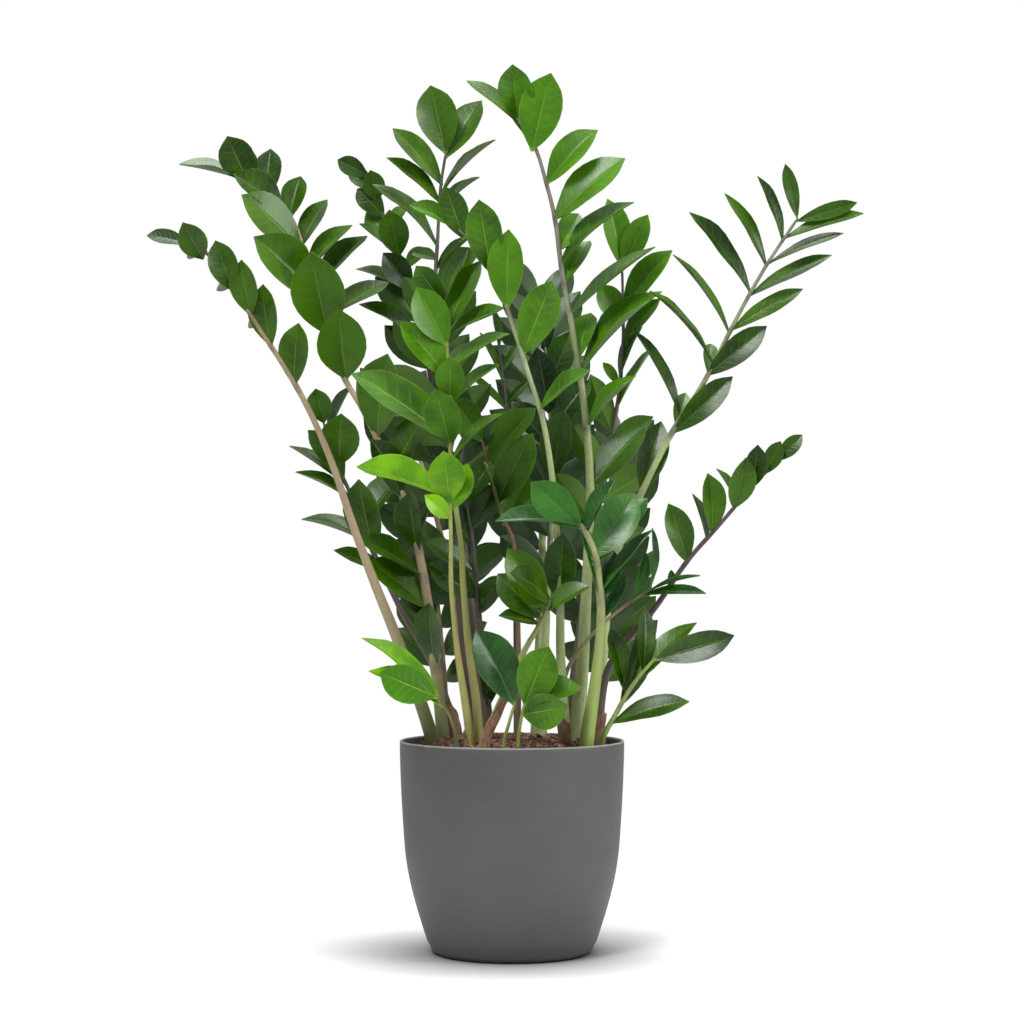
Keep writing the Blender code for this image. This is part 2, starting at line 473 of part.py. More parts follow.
def make_soil(stalks):
    """The soil fills the pot and has a pocket round each buried stalk."""
    foot = POT_FLOOR + CLEARANCE
    top = POT_HEIGHT - SOIL_BELOW_RIM
    heights = [foot + (top - foot) * share for share in SOIL_SIDE_RINGS]
    # The wall is faceted, so its flats come nearer the axis than its corners.
    flat = math.cos(math.pi / POT_SIDES) ** 2
    radii = [wall_radius(height) * flat - SOIL_GAP for height in heights]
    profile = [(0, foot), (pot_inner_radius(POT_FLOOR) - SOIL_GAP, foot)]
    profile += list(zip(radii, heights))
    edge = radii[-1]
    profile += [(edge * share, soil_height(edge * share)) for share in SOIL_TOP_RINGS]
    soil = turned("soil", profile, SOIL_SIDES, material("Bark soil", SOIL_BROWN, 0.95))
    bm = bmesh.new()
    for stalk in stalks.values():
        stalk.add_tube(bm, buried_only=True, margin=CLEARANCE / math.cos(math.pi / STEM_SIDES))
    boolean(soil, "DIFFERENCE", cutter(bm, "soil_pockets"))
    return soil


def placed(point):
    """A route's point on this pot: lifted with the rim, and gathered to its mouth near the soil."""
    x, y, z = point
    above = min(1.0, max(0.0, (z - RIM_DATUM) / GATHER_HEIGHT))
    spread = POT_RIM_DIAMETER / MOUTH_DATUM * (1 - above) + above
    return Vector((x * spread, y * spread, z + POT_HEIGHT - RIM_DATUM))


def catmull_rom(a, b, c, d, t):
    return 0.5 * (
        2 * b + (c - a) * t + (2 * a - 5 * b + 4 * c - d) * t**2 + (3 * b - a - 3 * c + d) * t**3
    )


def lengths_along(points):
    lengths = [0.0]
    for start, end in zip(points, points[1:]):
        lengths.append(lengths[-1] + (end - start).length)
    return lengths


def point_along(points, lengths, length):
    """The point and direction this far along a line of points."""
    length = min(max(length, 0.0), lengths[-1])
    i = next(i for i, far in enumerate(lengths[1:]) if length <= far or far == lengths[-1])
    run = points[i + 1] - points[i]
    return points[i] + run * ((length - lengths[i]) / run.length), run.normalized()


class Stalk:
    """The stalk of a frond: evenly spaced points of its smooth route, and its girth along them."""

    STEPS = 8

    def __init__(self, frond):
        self.frond = frond
        route = [placed(point) for point in frond.route]
        ends = [2 * route[0] - route[1]] + route + [2 * route[-1] - route[-2]]
        fine = [route[0]]
        for a, b, c, d in zip(ends, ends[1:], ends[2:], ends[3:]):
            fine += [catmull_rom(a, b, c, d, (i + 1) / self.STEPS) for i in range(self.STEPS)]
        reached = lengths_along(fine)
        count = max(STEM_FEWEST_RINGS, round(reached[-1] / STEM_RING_SPACING))
        spaced = [reached[-1] * i / count for i in range(count + 1)]
        self.points = [point_along(fine, reached, length)[0] for length in spaced]
        self.lengths = lengths_along(self.points)

    def at(self, length):
        """The point and direction this far along the stalk."""
        return point_along(self.points, self.lengths, length)

    def length_at_height(self, height):
        """How far along the stalk it first reaches this height, measured as in the tables."""
        height += POT_HEIGHT - RIM_DATUM
        for i, (start, end) in enumerate(zip(self.points, self.points[1:])):
            if start.z <= height <= end.z:
                share = (height - start.z) / max(end.z - start.z, 0.001)
                return self.lengths[i] + (end - start).length * share
        return self.lengths[-1] * LAST_LEAFLET

    def radius_at(self, length):
        """A fleshy foot that thins quickly at first, then slowly to the tip."""
        share = length / self.lengths[-1]
        foot, tip = self.frond.foot * STEM_GIRTH, self.frond.tip * STEM_GIRTH
        left = 1 - share
        return tip + (foot - tip) * (STEM_TAPER * left + (1 - STEM_TAPER) * left**3)

    def add_tube(self, bm, buried_only=False, margin=0.0):
        """The stalk's tube, fatter by the margin; buried_only stops it just above the soil."""
        total = self.lengths[-1]
        if buried_only:
            total = self.length_at_height(RIM_DATUM + POCKET_TOP)
        stops = [length for length in self.lengths if length < total - 0.1] + [total]
        side = Vector((1, 0, 0))
        rings = []
        for length in stops:
            centre, along = self.at(length)
            if length == 0:
                centre = centre - along * margin
            side = (side - along * side.dot(along)).normalized()
            other = along.cross(side)
            radius = self.radius_at(length) + margin
            ring = []
            for k in range(STEM_SIDES):
                turn = math.tau * k / STEM_SIDES
                spoke = side * math.cos(turn) + other * math.sin(turn)
                ring.append(bm.verts.new((centre + spoke * radius) * CM))
            rings.append(ring)
        bridge_rings(bm, rings)
        bm.faces.new(list(reversed(rings[0])))
        bm.faces.new(rings[-1])


def bridge_rings(bm, rings):
    for low, high in zip(rings, rings[1:]):
        for k in range(len(low)):
            j = (k + 1) % len(low)
            bm.faces.new((low[k], low[j], high[j], high[k]))


class Leaflet(NamedTuple):
    """A blade from its stalk to its tip, in cm; normal points out of its upper side."""

    start: Vector
    reach: Vector
    normal: Vector
    breadth: float

    def turned(self, axis, degrees, size):
        spin = Matrix.Rotation(math.radians(degrees), 3, axis)
        return Leaflet(
            self.start, spin @ self.reach * size, spin @ self.normal, self.breadth * size
        )


def chosen_leaflet(stalk, height, right, back, up, seen):
    """A leaflet of the table: rolled about its own length until it looks this broad in front."""
    start, along = stalk.at(stalk.length_at_height(height))
    reach = Vector((right, back, up))
    axis = reach.normalized()
    breadth = max(abs(seen), stalk.frond.slimness * reach.length) * LEAFLET_BREADTH
    front = Vector((0, -1, 0))
    front = (front - axis * front.dot(axis)).normalized()
    upper = axis.cross(front)
    if upper.dot(along) < 0:
        upper = -upper
    roll = math.acos(min(1.0, abs(seen) * LEAFLET_BREADTH / breadth))
    if seen < 0:
        roll = math.pi - roll
    return Leaflet(start, reach, front * math.cos(roll) + upper * math.sin(roll), breadth)


def row_leaflets(stalk, low, high, pairs, length, breadth, heading):
    """Pairs of leaflets up a stalk, each blade rising towards the tip and smaller near it."""
    outward = Vector((math.cos(math.radians(heading)), math.sin(math.radians(heading)), 0))
    found = []
    for i in range(2 * pairs):
        share = i / (2 * pairs - 1)
        start, along = stalk.at(stalk.length_at_height(low + (high - low) * share))
        side = (outward - along * outward.dot(along)).normalized()
        if i % 2:
            side = -side
        rise = math.radians(ROW_RISE + ROW_RISE_GAIN * share)
        axis = side * math.cos(rise) + along * math.sin(rise)
        face = along.cross(outward) + along * ROW_LEAN
        face = (face - axis * face.dot(axis)).normalized()
        swell = math.sin(math.pi * (0.25 + 0.6 * share))
        size = ROW_SMALLEST + ROW_SWELL * swell + ROW_VARIETY * (i % 3 - 1)
        found.append(Leaflet(start, axis * length * size, face, breadth * size * LEAFLET_BREADTH))
    return found


def add_blade(bm, leaf, thicker=0.0, stations=LEAFLET_OUTLINE):
    """A closed lens, arched along its length and folded up on both sides of its midrib."""
    axis = leaf.reach.normalized()
    across = axis.cross(leaf.normal)
    length = leaf.reach.length
    rings = []
    for share, half in stations:
        arch = leaf.normal * length * LEAFLET_ARCH * 4 * share * (1 - share)
        centre = leaf.start + leaf.reach * share + arch
        reach = across * leaf.breadth * half
        lift = leaf.normal * leaf.breadth * half * 2 * LEAFLET_FOLD
        skin = leaf.normal * (LEAFLET_THICKNESS / 2 + thicker)
        rim = across * thicker
        right, left = centre + reach + lift + rim, centre - reach + lift - rim
        corners = (right, centre + skin, left, centre - skin)
        rings.append([bm.verts.new(corner * CM) for corner in corners])
    bridge_rings(bm, rings)
    for ring, end in ((rings[0], leaf.start), (rings[-1], leaf.start + leaf.reach)):
        tip = bm.verts.new(end * CM)
        for k in range(4):
            bm.faces.new((ring[k], ring[(k + 1) % 4], tip))


def tree_of(build):
    bm = bmesh.new()
    build(bm)
    bmesh.ops.recalc_face_normals(bm, faces=bm.faces)
    tree = BVHTree.FromBMesh(bm)
    bm.free()
    return tree


def trimmed(leaf):
    """The blade without the end that grows out of its own stalk."""
    start = leaf.start + leaf.reach * LEAFLET_TRIM
    return Leaflet(start, leaf.reach * (1 - LEAFLET_TRIM), leaf.normal, leaf.breadth)


class Canopy:
    """Where the stalks and the leaflets grown so far are, so that a new leaflet finds room."""

    def __init__(self, stalks):
        self.stalks = {
            name: tree_of(lambda bm, stalk=stalk: stalk.add_tube(bm, margin=STEM_ROOM))
            for name, stalk in stalks.items()
        }
        self.blades = []

    def fits(self, name, leaf):
        whole = tree_of(lambda bm: add_blade(bm, leaf, LEAFLET_ROOM))
        for other, tree in self.stalks.items():
            if other != name and whole.overlap(tree):
                return False
        end = tree_of(lambda bm: add_blade(bm, trimmed(leaf), LEAFLET_ROOM))
        middle = leaf.start + leaf.reach / 2
        for other, centre, span, grown, grown_end in self.blades:
            if (centre - middle).length > span + leaf.reach.length:
                continue
            if end.overlap(grown_end) if other == name else whole.overlap(grown):
                return False
        return True

    def grow(self, name, stalk, leaf):
        """The leaflet, turned about its stalk or kept small until it meets nothing."""
        along = stalk.at(stalk.length_at_height(leaf.start.z - POT_HEIGHT + RIM_DATUM))[1]
        found = leaf
        for size in SHRINKS:
            for degrees in TURNS:
                found = leaf.turned(along, degrees, size)
                if self.fits(name, found):
                    break
            else:
                continue
            break
        self.blades.append(
            (
                name,
                found.start + found.reach / 2,
                found.reach.length / 2,
                tree_of(lambda bm: add_blade(bm, found)),
                tree_of(lambda bm: add_blade(bm, trimmed(found))),
            )
        )
        return found


def grown_leaflets(stalks):
    """Each frond's leaflets: the chosen ones grow first, and the rows find room among them."""
    canopy = Canopy(stalks)
    leaflets = {name: [] for name in stalks}
    for name, stalk in stalks.items():
        for row in stalk.frond.leaflets:
            leaf = chosen_leaflet(stalk, *row)
            leaflets[name].append(canopy.grow(name, stalk, leaf))
    for name, stalk in stalks.items():
        for row in stalk.frond.rows:
            for leaf in row_leaflets(stalk, *row):
                leaflets[name].append(canopy.grow(name, stalk, leaf))
    return leaflets


def make_frond(stalk, leaflets):
    """The stalk's tube with its leaflets grown on."""
    frond = stalk.frond
    bm = bmesh.new()
    stalk.add_tube(bm)
    green = material(frond.name + " green", frond.colour, 0.4)
    made = object_from(bm, frond.name, green, smooth=50)
    bm = bmesh.new()
    for leaf in leaflets:
        add_blade(bm, leaf)
    boolean(made, "UNION", cutter(bm, frond.name + "_leaflets"))
    return made


def make_sheath(name, stalk, lift, height, opening, cover):
    """A dry sheath: a sleeve round the stalk's foot, open along one side and torn at the top."""
    foot_radius = stalk.radius_at(0) + CLEARANCE
    foot, _ = stalk.at(stalk.length_at_height(RIM_DATUM))
    ground = soil_height(max(0.0, math.hypot(foot.x, foot.y) - foot_radius)) + lift
    bm = bmesh.new()
    rings = []
    for i in range(SHEATH_RINGS):
        share = i / (SHEATH_RINGS - 1)
        level = ground + height * share
        centre, _ = stalk.at(stalk.length_at_height(level - POT_HEIGHT + RIM_DATUM))
        half = cover / 2 * (1 - SHEATH_TEAR * share**2)
        bore = (foot_radius + 2 * CLEARANCE) / math.cos(math.pi / STEM_SIDES)
        inner = bore * (1 + SHEATH_FLARE * share)
        outer = inner + SHEATH_THICKNESS
        turns = [2 * k / SHEATH_SIDES - 1 for k in range(SHEATH_SIDES + 1)]
        spread = [math.radians(opening + 180 + half * turn) for turn in turns]
        ring = [(angle, outer) for angle in spread]
        ring += [(angle, inner) for angle in reversed(spread)]
        rings.append([])
        for angle, radius in ring:
            out = Vector((math.cos(angle), math.sin(angle), 0)) * radius
            corner = Vector((centre.x, centre.y, level)) + out
            rings[-1].append(bm.verts.new(corner * CM))
    bridge_rings(bm, rings)
    for ring in (rings[0], rings[-1]):
        for k in range(SHEATH_SIDES):
            bm.faces.new((ring[k], ring[k + 1], ring[-2 - k], ring[-1 - k]))
    return object_from(bm, name, material(name + " dry brown", SHEATH_BROWN, 0.8), smooth=40)


def main():
    clear_scene()
    stalks = {frond.name: Stalk(frond) for frond in FRONDS}
    make_pot()
    make_soil(stalks)
    leaflets = grown_leaflets(stalks)
    for name, stalk in stalks.items():
        make_frond(stalk, leaflets[name])
    for name, frond, lift, height, opening, cover in SHEATHS:
        make_sheath(name, stalks[frond], lift, height, opening, cover)


main()
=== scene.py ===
"""The looks of a potted ZZ plant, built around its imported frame.

A round tapered pot holds a mound of bark soil. Fronds grow from it, each a fleshy stalk with
glossy leaflets, and dry papery sheaths wrap the feet of some stalks. Tables are in centimetres,
with the origin at the centre of the pot's underside, +X to the right, +Y to the back and +Z up.
"""

from __future__ import annotations

import logging
import math
import random
from dataclasses import dataclass
from enum import Enum
from typing import Callable, Optional

import bmesh
import bpy
import numpy as np
from mathutils import Matrix, Vector, noise
from mathutils.bvhtree import BVHTree

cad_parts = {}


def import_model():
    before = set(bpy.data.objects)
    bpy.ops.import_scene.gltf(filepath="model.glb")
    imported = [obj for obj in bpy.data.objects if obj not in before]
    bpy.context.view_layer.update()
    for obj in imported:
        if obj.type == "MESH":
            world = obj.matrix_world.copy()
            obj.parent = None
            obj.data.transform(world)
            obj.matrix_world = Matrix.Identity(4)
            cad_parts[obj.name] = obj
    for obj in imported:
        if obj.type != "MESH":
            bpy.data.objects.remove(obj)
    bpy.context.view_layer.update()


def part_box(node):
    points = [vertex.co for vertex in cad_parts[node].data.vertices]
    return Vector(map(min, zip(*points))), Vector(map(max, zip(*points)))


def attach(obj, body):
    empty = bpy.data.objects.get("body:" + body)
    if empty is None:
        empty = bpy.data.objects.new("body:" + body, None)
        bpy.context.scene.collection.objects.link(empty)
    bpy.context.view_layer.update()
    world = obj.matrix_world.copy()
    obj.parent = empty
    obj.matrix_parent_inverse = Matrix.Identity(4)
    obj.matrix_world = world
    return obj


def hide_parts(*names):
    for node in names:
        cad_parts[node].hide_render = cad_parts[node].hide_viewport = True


LOG = logging.getLogger("potted_zz_plant")

CM = 0.01
EVERYWHERE = 9.0
SOIL_LEVEL = 23
FOOT_LEVEL = 22.8
SOIL_SEED, SHEATH_SEED, FIRST_FROND_SEED, NOISE_SEED = 7, 21, 100, 5
Colour = tuple[float, float, float, float]
Point = tuple[float, float, float]

Piece = bpy.types.Object
Material = bpy.types.Material
Tree = bpy.types.NodeTree
Node = bpy.types.Node
Socket = bpy.types.NodeSocket
Outputs = bpy.types.bpy_prop_collection
Shape = bmesh.types.BMesh


class LeafTone(Enum):
    """The greens that a frond's leaflets come in; the value is its slot in the record."""

    LIME = "leaf_lime"
    BRIGHT = "leaf_bright"
    GREEN = "leaf_green"
    DARK = "leaf_dark"
    TEAL = "leaf_teal"


class StalkTone(Enum):
    """The colours that a frond's stalk comes in."""

    TAN = "tan"
    PALE = "pale"
    YOUNG = "young"
    STOUT = "stout"
    DARK = "dark"
    RED = "red"


@dataclass(frozen=True)
class FrondPlan:
    """How one frond grows, in cm.

    The stalk follows its route and thins from foot to tip (radii). Each leaflet is (height where
    it leaves the stalk, reach right, reach back, reach up, breadth seen from the front), where a
    negative breadth shows its underside. Each row is (lowest height, highest height, pairs,
    length, breadth, heading in degrees of its right-hand leaflets). Slimness is a leaflet's
    breadth as a share of its length.
    """

    name: str
    leaf: LeafTone
    stalk: StalkTone
    foot: float
    tip: float
    slimness: float
    route: tuple[Point, ...]
    leaflets: tuple[tuple[float, ...], ...]
    rows: tuple[tuple[float, ...], ...] = ()


FRONDS: tuple[FrondPlan, ...] = (
    FrondPlan(
        "far_left_frond", LeafTone.GREEN, StalkTone.TAN, 0.90, 0.18, 0.52,
        ((-8.3, -2.6, 18), (-8.6, -2.8, 23.2), (-12, -3.6, 33.1), (-14.7, -4.6, 40),
         (-16.9, -5.6, 46), (-19.4, -7, 53.5), (-22.4, -8.4, 60.2), (-26.8, -10, 67.3),
         (-31.6, -11.4, 74.4), (-33.9, -12, 75.8)),
        ((75.7, -4.4, -0.5, 0.9, 1.7), (74.2, -1.7, -3.3, 3.4, 3.0), (70.9, -1.7, -1.5, 5.2, 3.1),
         (68.4, -0.8, -1.5, 5.8, 3.1), (65.2, -0.8, -1, 6.5, 3.2), (61.1, 0.5, -1, 6.6, 3.3),
         (74.7, -1.2, 4.6, 2.2, 1.4), (71.3, -1, 5.2, 2.8, 1.2), (67.4, -0.6, 5.6, 3, 1.2)),
    ),
    FrondPlan(
        "upper_left_frond", LeafTone.GREEN, StalkTone.TAN, 0.85, 0.16, 0.56,
        ((-7.2, 1.5, 18), (-7.6, 1.5, 23.5), (-8.4, 1.7, 31), (-9.6, 2, 40), (-11.1, 2.4, 47),
         (-13.4, 3, 52.6), (-16.2, 3.6, 58.7), (-18.5, 4, 62.6), (-20.1, 4.4, 66),
         (-21.7, 4.8, 70.5), (-23, 5.2, 76.6), (-24.8, 5.6, 81.2), (-27.6, 5.9, 84.5),
         (-30.1, 6, 85.4)),
        ((85.3, -7.2, -1, 1.6, 1.2), (84.9, -2.2, -1.8, 5.0, 4.0), (83.1, 0.4, 0.8, 5.8, 3.2),
         (80.8, 1.2, 1, 5, 2.8), (77.7, 2.8, 1.4, 5.5, 2.6), (75.1, 4.9, 1.4, 5.2, 2.4),
         (72.3, 5.8, 1.8, 6.8, 2.6), (69.5, 7.3, 2.2, 4.4, 2.5), (84.1, -5.4, -1.4, 3, 2.0),
         (81.3, -5.4, -2.8, 4.2, 3.2), (77.1, -6.9, -3.4, 5.6, 4.4),
         (71.9, -7, -4, 6, 5.2), (67.7, -1.5, -4, 8.8, 6.0), (62.7, -0.6, -4, 7.5, 5.5),
         (56.2, 1.4, -4, 9, 5.0), (41, -6.7, -2.8, 4, 2.0), (37.3, -6.5, -3.4, 5.2, 3.0),
         (36, -3.3, 0.4, 2.5, 1.6), (43.5, -0.8, -1.8, 6.7, 3.0), (44.4, 2, -0.5, 4.8, 0.8),
         (31, -0.6, -2.4, 7, 3.0), (49.5, -3.4, -2.6, 6.4, 3.2), (52, 3.6, -1.8, 6.6, 3.2)),
    ),
    FrondPlan(
        "back_left_frond", LeafTone.GREEN, StalkTone.DARK, 0.75, 0.15, 0.46,
        ((-4, 6, 18), (-4.5, 6.5, 23.5), (-6.6, 9, 45), (-9.2, 12.4, 62.6), (-11.2, 14.2, 73),
         (-13.1, 15, 78.2), (-15.4, 15.6, 83.8), (-16.9, 16, 87.8)),
        ((87.3, -3.6, 0, 1.9, 2.3), (85.6, -2.9, 1.6, 2.8, 2.2), (84.4, -0.8, -1.5, 3.3, 2.6),
         (82.4, -3.2, 0.6, 3.4, 2.8), (79.6, -3.3, 1.6, 3.6, 2.6), (77.8, -1.1, -2.2, 5.1, 3.5),
         (74, -3.2, -2, 3.9, 3.2), (77, -4.6, -1.5, 4.6, 0.9), (73, -6.6, -1, 3.4, 1.2),
         (67.6, -7.4, -1, 4.4, 1.6), (80.8, 1.8, 1.8, 3.2, 1.6), (76.2, 2.4, 1.4, 2.8, 1.7)),
        ((40, 70, 6, 8.2, 3.6, 10),),
    ),
    FrondPlan(
        "top_centre_frond", LeafTone.GREEN, StalkTone.DARK, 0.80, 0.15, 0.46,
        ((-2.5, 4.5, 18), (-3, 4.6, 24), (-5.5, 5.6, 45), (-7.8, 7, 60.2), (-8.6, 8, 73),
         (-8.4, 8.5, 79.1), (-8.1, 8.8, 84.7), (-7.5, 9, 88.9)),
        ((88.7, -1.7, -1.2, 7.6, 4.6), (88.2, 4.1, 1, 6.8, 3.4), (85.1, -5.6, 0, 6.5, 2.6),
         (83.1, -6, -1, 5, 1.9), (84.2, 6.1, 1, 6.3, 0.8), (82.1, 4.5, 1.5, 4.2, 0.8),
         (78.1, -7.3, -1, 6.9, 1.7), (76.6, -2.8, 3, 1.2, 1.6), (75.5, 4, 1, 4, 1.0),
         (73.3, 4.6, 2, 4.8, 3.0)),
        ((46, 69, 5, 8.2, 3.6, 12),),
    ),
    FrondPlan(
        "light_centre_frond", LeafTone.BRIGHT, StalkTone.PALE, 0.70, 0.16, 0.46,
        ((5.6, -5, 18), (5.7, -5.2, 23.3), (5.2, -6.2, 32.3), (5.1, -7.2, 38.1), (4.7, -8.6, 45.9),
         (4.2, -9.8, 51.7), (3.3, -10.8, 57.1), (2, -11.6, 61.3), (0, -12.4, 67.4),
         (-1.4, -13, 71.5), (-3.8, -13.6, 75.4), (-6.1, -14, 77.4)),
        ((77.2, -4.7, -0.5, 2.3, 1.8), (76, -1.9, -0.6, 5.4, 3.0),
         (72.5, -1.2, -1, 7.6, 3.8), (68.8, 0.2, -1, 8.3, 3.9), (64.1, 3.1, -1, 7.7, 4.1),
         (58.3, 5.3, -1.5, 4.2, 1.6), (38, 0.4, -1.9, 7.5, 3.5)),
    ),
    FrondPlan(
        "tallest_frond", LeafTone.BRIGHT, StalkTone.PALE, 0.95, 0.18, 0.46,
        ((6.8, -0.6, 18), (7, -0.6, 23), (7.6, -0.6, 30), (8, -0.5, 37), (8.5, -0.5, 48),
         (8.4, -0.5, 54), (7.7, -0.5, 61), (6.6, -0.5, 68), (5.5, -0.5, 74), (4.7, -0.5, 80),
         (3.6, -0.5, 84.5), (2.6, -0.5, 87.7), (1.3, -0.5, 89.8), (0.6, -0.5, 91)),
        ((90.9, -0.6, -2.4, 5.6, 3.8), (90.4, -5.8, 0, 4.8, 1.8), (90.7, -3, 1.5, 4.3, 1.5),
         (89.4, -4.2, -1, 3.6, -2.0), (87.4, 2.3, -1.5, 8.3, 4.8), (83.8, 5.6, -1, 5.8, 3.3),
         (79.8, 7.8, -1, 6.7, 3.8), (75, 7.9, -1, 6.7, 2.0), (76.5, 2.3, 3, 4.5, 3.0),
         (73, 2.9, 3, 5, 2.5), (69.5, 9.3, -0.5, 7.4, 1.6), (63, 9, -0.5, 9, 1.8),
         (57, 5.4, -0.5, 5.8, 1.0), (64.5, 1.6, 3, 5.5, 2.7), (50.5, 6.2, 1.5, 7, 3.5)),
    ),
    FrondPlan(
        "right_centre_frond", LeafTone.BRIGHT, StalkTone.DARK, 0.65, 0.15, 0.42,
        ((5.8, 4.5, 18), (6.2, 4.6, 24), (8.6, 6.2, 42), (11.7, 9, 58.8), (12.5, 10.2, 65.2),
         (12.7, 11, 69.8), (12.6, 12, 76.4)),
        ((76.2, -1.7, -1, 7.7, 3.2), (75.8, 2.9, -1, 6.3, 2.9), (70.8, 5.5, -2, 7, 3.0),
         (69.8, -2.7, -1, 4.2, 3.0), (67.7, 4.2, -0.5, 4.7, 2.0), (63.5, 2.6, 1, 5.8, 1.2),
         (62.5, -1.8, 0, 2.6, 1.2), (59.9, 4.2, 0, 7, 0.8)),
        ((44, 57, 3, 7.6, 3.2, 15),),
    ),
    FrondPlan(
        "right_fern_frond", LeafTone.GREEN, StalkTone.PALE, 0.80, 0.16, 0.24,
        ((8.4, 2.2, 18), (8.8, 2.2, 23), (9.8, 2, 30), (10.5, 1.8, 38), (12, 1.4, 45),
         (14.2, 0.8, 50), (17.4, 0, 56.4), (20.8, -1, 61.8), (23.3, -2, 66.7),
         (25.2, -2.6, 70.4), (27.7, -3.4, 74.8), (30.9, -4, 79.6)),
        ((79.5, -1.3, 0, 6, 1.6), (79.2, 6.7, 0, 2.1, 1.7), (77.5, 8.4, -0.5, 2.6, 1.5),
         (74.8, 8, -0.5, 3.2, 1.1), (71.3, 8.9, -0.5, 4.4, 1.6), (67.6, 7.8, -0.5, 4.5, 1.9),
         (62.7, 6.6, -1, 5.4, 2.9), (56.5, 6.5, -1, 6.2, 2.9), (77.1, -2.7, 0, 7.1, 1.3),
         (74.4, -4.5, 0, 8, 1.5), (71.6, -6.6, 0, 8.8, 1.9), (67.3, -6.1, 0, 8.6, 0.9),
         (64.1, -6.9, 0, 8, 0.7), (58.2, -5.2, 0, 9.7, 1.2), (63.1, 0.6, 3, 3.4, 1.6),
         (57.2, 1.3, 3.2, 4, 1.9), (49.8, 2.3, 1.5, 8.2, 3.4)),
    ),
    FrondPlan(
        "right_low_frond", LeafTone.GREEN, StalkTone.DARK, 0.65, 0.15, 0.46,
        ((8.9, -2.6, 18), (9.3, -2.8, 24), (10.1, -3, 30), (11.9, -3.4, 33.3), (15.4, -4, 37.5),
         (18.8, -4.8, 42.5), (22.2, -5.6, 46.4), (25.5, -6.4, 50.3), (28.4, -7, 53.4)),
        ((53.2, 2.7, -0.5, 2.8, 1.8), (51.8, 1.6, -1, 3.5, 2.0), (50.3, 0.5, -1.5, 4.6, 2.5),
         (48.1, 1, -1.5, 5.7, 3.0), (48.6, -2.1, 1.5, 3.9, 0.9), (45.4, -0.5, -1.5, 6.5, 2.6),
         (44.8, -1.4, 1.5, 5, 0.9), (42.3, -2.1, -1, 6.4, 3.0), (39.8, 0.2, -1, 1.8, 0.8)),
    ),
    FrondPlan(
        "thin_right_frond", LeafTone.TEAL, StalkTone.TAN, 0.42, 0.14, 0.26,
        ((5, -2.4, 18), (5.4, -2.6, 23), (5.7, -3.2, 30), (8.6, -4, 34.6), (12.9, -4.6, 38.3),
         (15.1, -5, 39.6)),
        ((39.5, 6, -0.5, 0.7, 1.0), (38.9, 6.6, -1.5, 0.2, 1.0), (39.3, 0.4, 0, 6.8, 0.7),
         (38, 1.5, 0, 5.6, 1.2)),
    ),
    FrondPlan(
        "front_stout_frond", LeafTone.TEAL, StalkTone.STOUT, 1.05, 0.30, 0.40,
        ((7.6, -6.6, 18), (7.9, -6.8, 23), (8.9, -7.8, 30.1), (9.4, -9, 36), (9.2, -10.2, 40),
         (8.8, -11, 42.9), (8.1, -11.6, 44.8), (7.2, -12, 46.4)),
        ((46.3, -9, -1, 0.4, 1.5), (45.9, -5.4, -0.5, 4.9, 3.8), (45.5, 3.2, -1, 5.5, 1.4),
         (45, 2.7, 0.4, 5.8, 1.2), (42.7, 4.7, 1.5, 7, 4.3), (42, 6.6, 3, 7.2, 2.9),
         (39.3, 5.7, 1, 6.6, 1.2), (38, 2.5, 1.4, 5.5, 2.4), (36, 2.7, 1.8, 5.5, 2.4),
         (38.5, -2.1, -0.5, 8, 1.4)),
    ),
    FrondPlan(
        "young_low_frond", LeafTone.LIME, StalkTone.YOUNG, 0.62, 0.18, 0.50,
        ((-4.6, -6.4, 18), (-4.5, -6.6, 23.5), (-5.1, -7.4, 28.3), (-5.7, -8.4, 32.3),
         (-6.1, -9.4, 36.3), (-6.4, -10.4, 40.1), (-6.4, -11.4, 44.9), (-6.5, -12, 49.3)),
        ((49.2, -9.7, -0.5, 3.2, 2.6), (48.8, -0.6, -2.5, 5.1, 3.9), (47.8, 1.9, -1, 4.9, 2.8),
         (47, -2.6, -2, 2.4, 2.0)),
    ),
    FrondPlan(
        "young_tall_frond", LeafTone.BRIGHT, StalkTone.YOUNG, 0.60, 0.16, 0.50,
        ((-3, -4.6, 18), (-3.5, -4.8, 23.6), (-3.9, -5.4, 28.2), (-4.6, -6.2, 33.1), (-5.2, -7, 40),
         (-5.4, -7.6, 44), (-6.1, -8.4, 49.4), (-6.5, -9.2, 54.6), (-6.4, -10, 59.3),
         (-6.8, -10.6, 64.6), (-7.1, -11.2, 70)),
        ((54.6, -1.6, -2.2, 6, 3.9), (55.2, -10.4, -1, 7.1, 3.9), (59.4, 0.1, -1.7, 4.6, 3.1),
         (58.9, 5.2, -1, 4.3, 1.2), (62.7, 6.4, -1, 3.7, 1.6), (53.3, 5.3, -1, 4.8, 1.0),
         (61.7, -5.1, -1.5, 5.8, 3.4), (65.2, -3.2, -1.5, 6, 3.8), (66.7, 3.6, 0.4, 7.5, 3.0),
         (69.5, -2.8, -1.5, 3.9, 2.9), (66.2, 6, -1, 2.9, 1.6), (69.9, 2.4, 0.6, 5.4, 1.6)),
    ),
    FrondPlan(
        "red_stem_frond", LeafTone.GREEN, StalkTone.RED, 0.45, 0.14, 0.50,
        ((0.6, -2.6, 18), (0.6, -2.7, 23.4), (0.7, -2.8, 33), (0.3, -3, 43.8), (-1.2, -3, 47.5),
         (-2.2, -3, 51.5), (-3.3, -3, 55.7)),
        ((48.8, 3.8, -1.5, 7.5, 4.1), (53, 5.2, 0, 6.2, 3.0), (46.4, 2.8, 1.5, 5.4, 3.0),
         (47.3, -1.9, -0.8, 6, 1.5), (55.5, -3.2, 0, 4.8, 3.3)),
    ),
    FrondPlan(
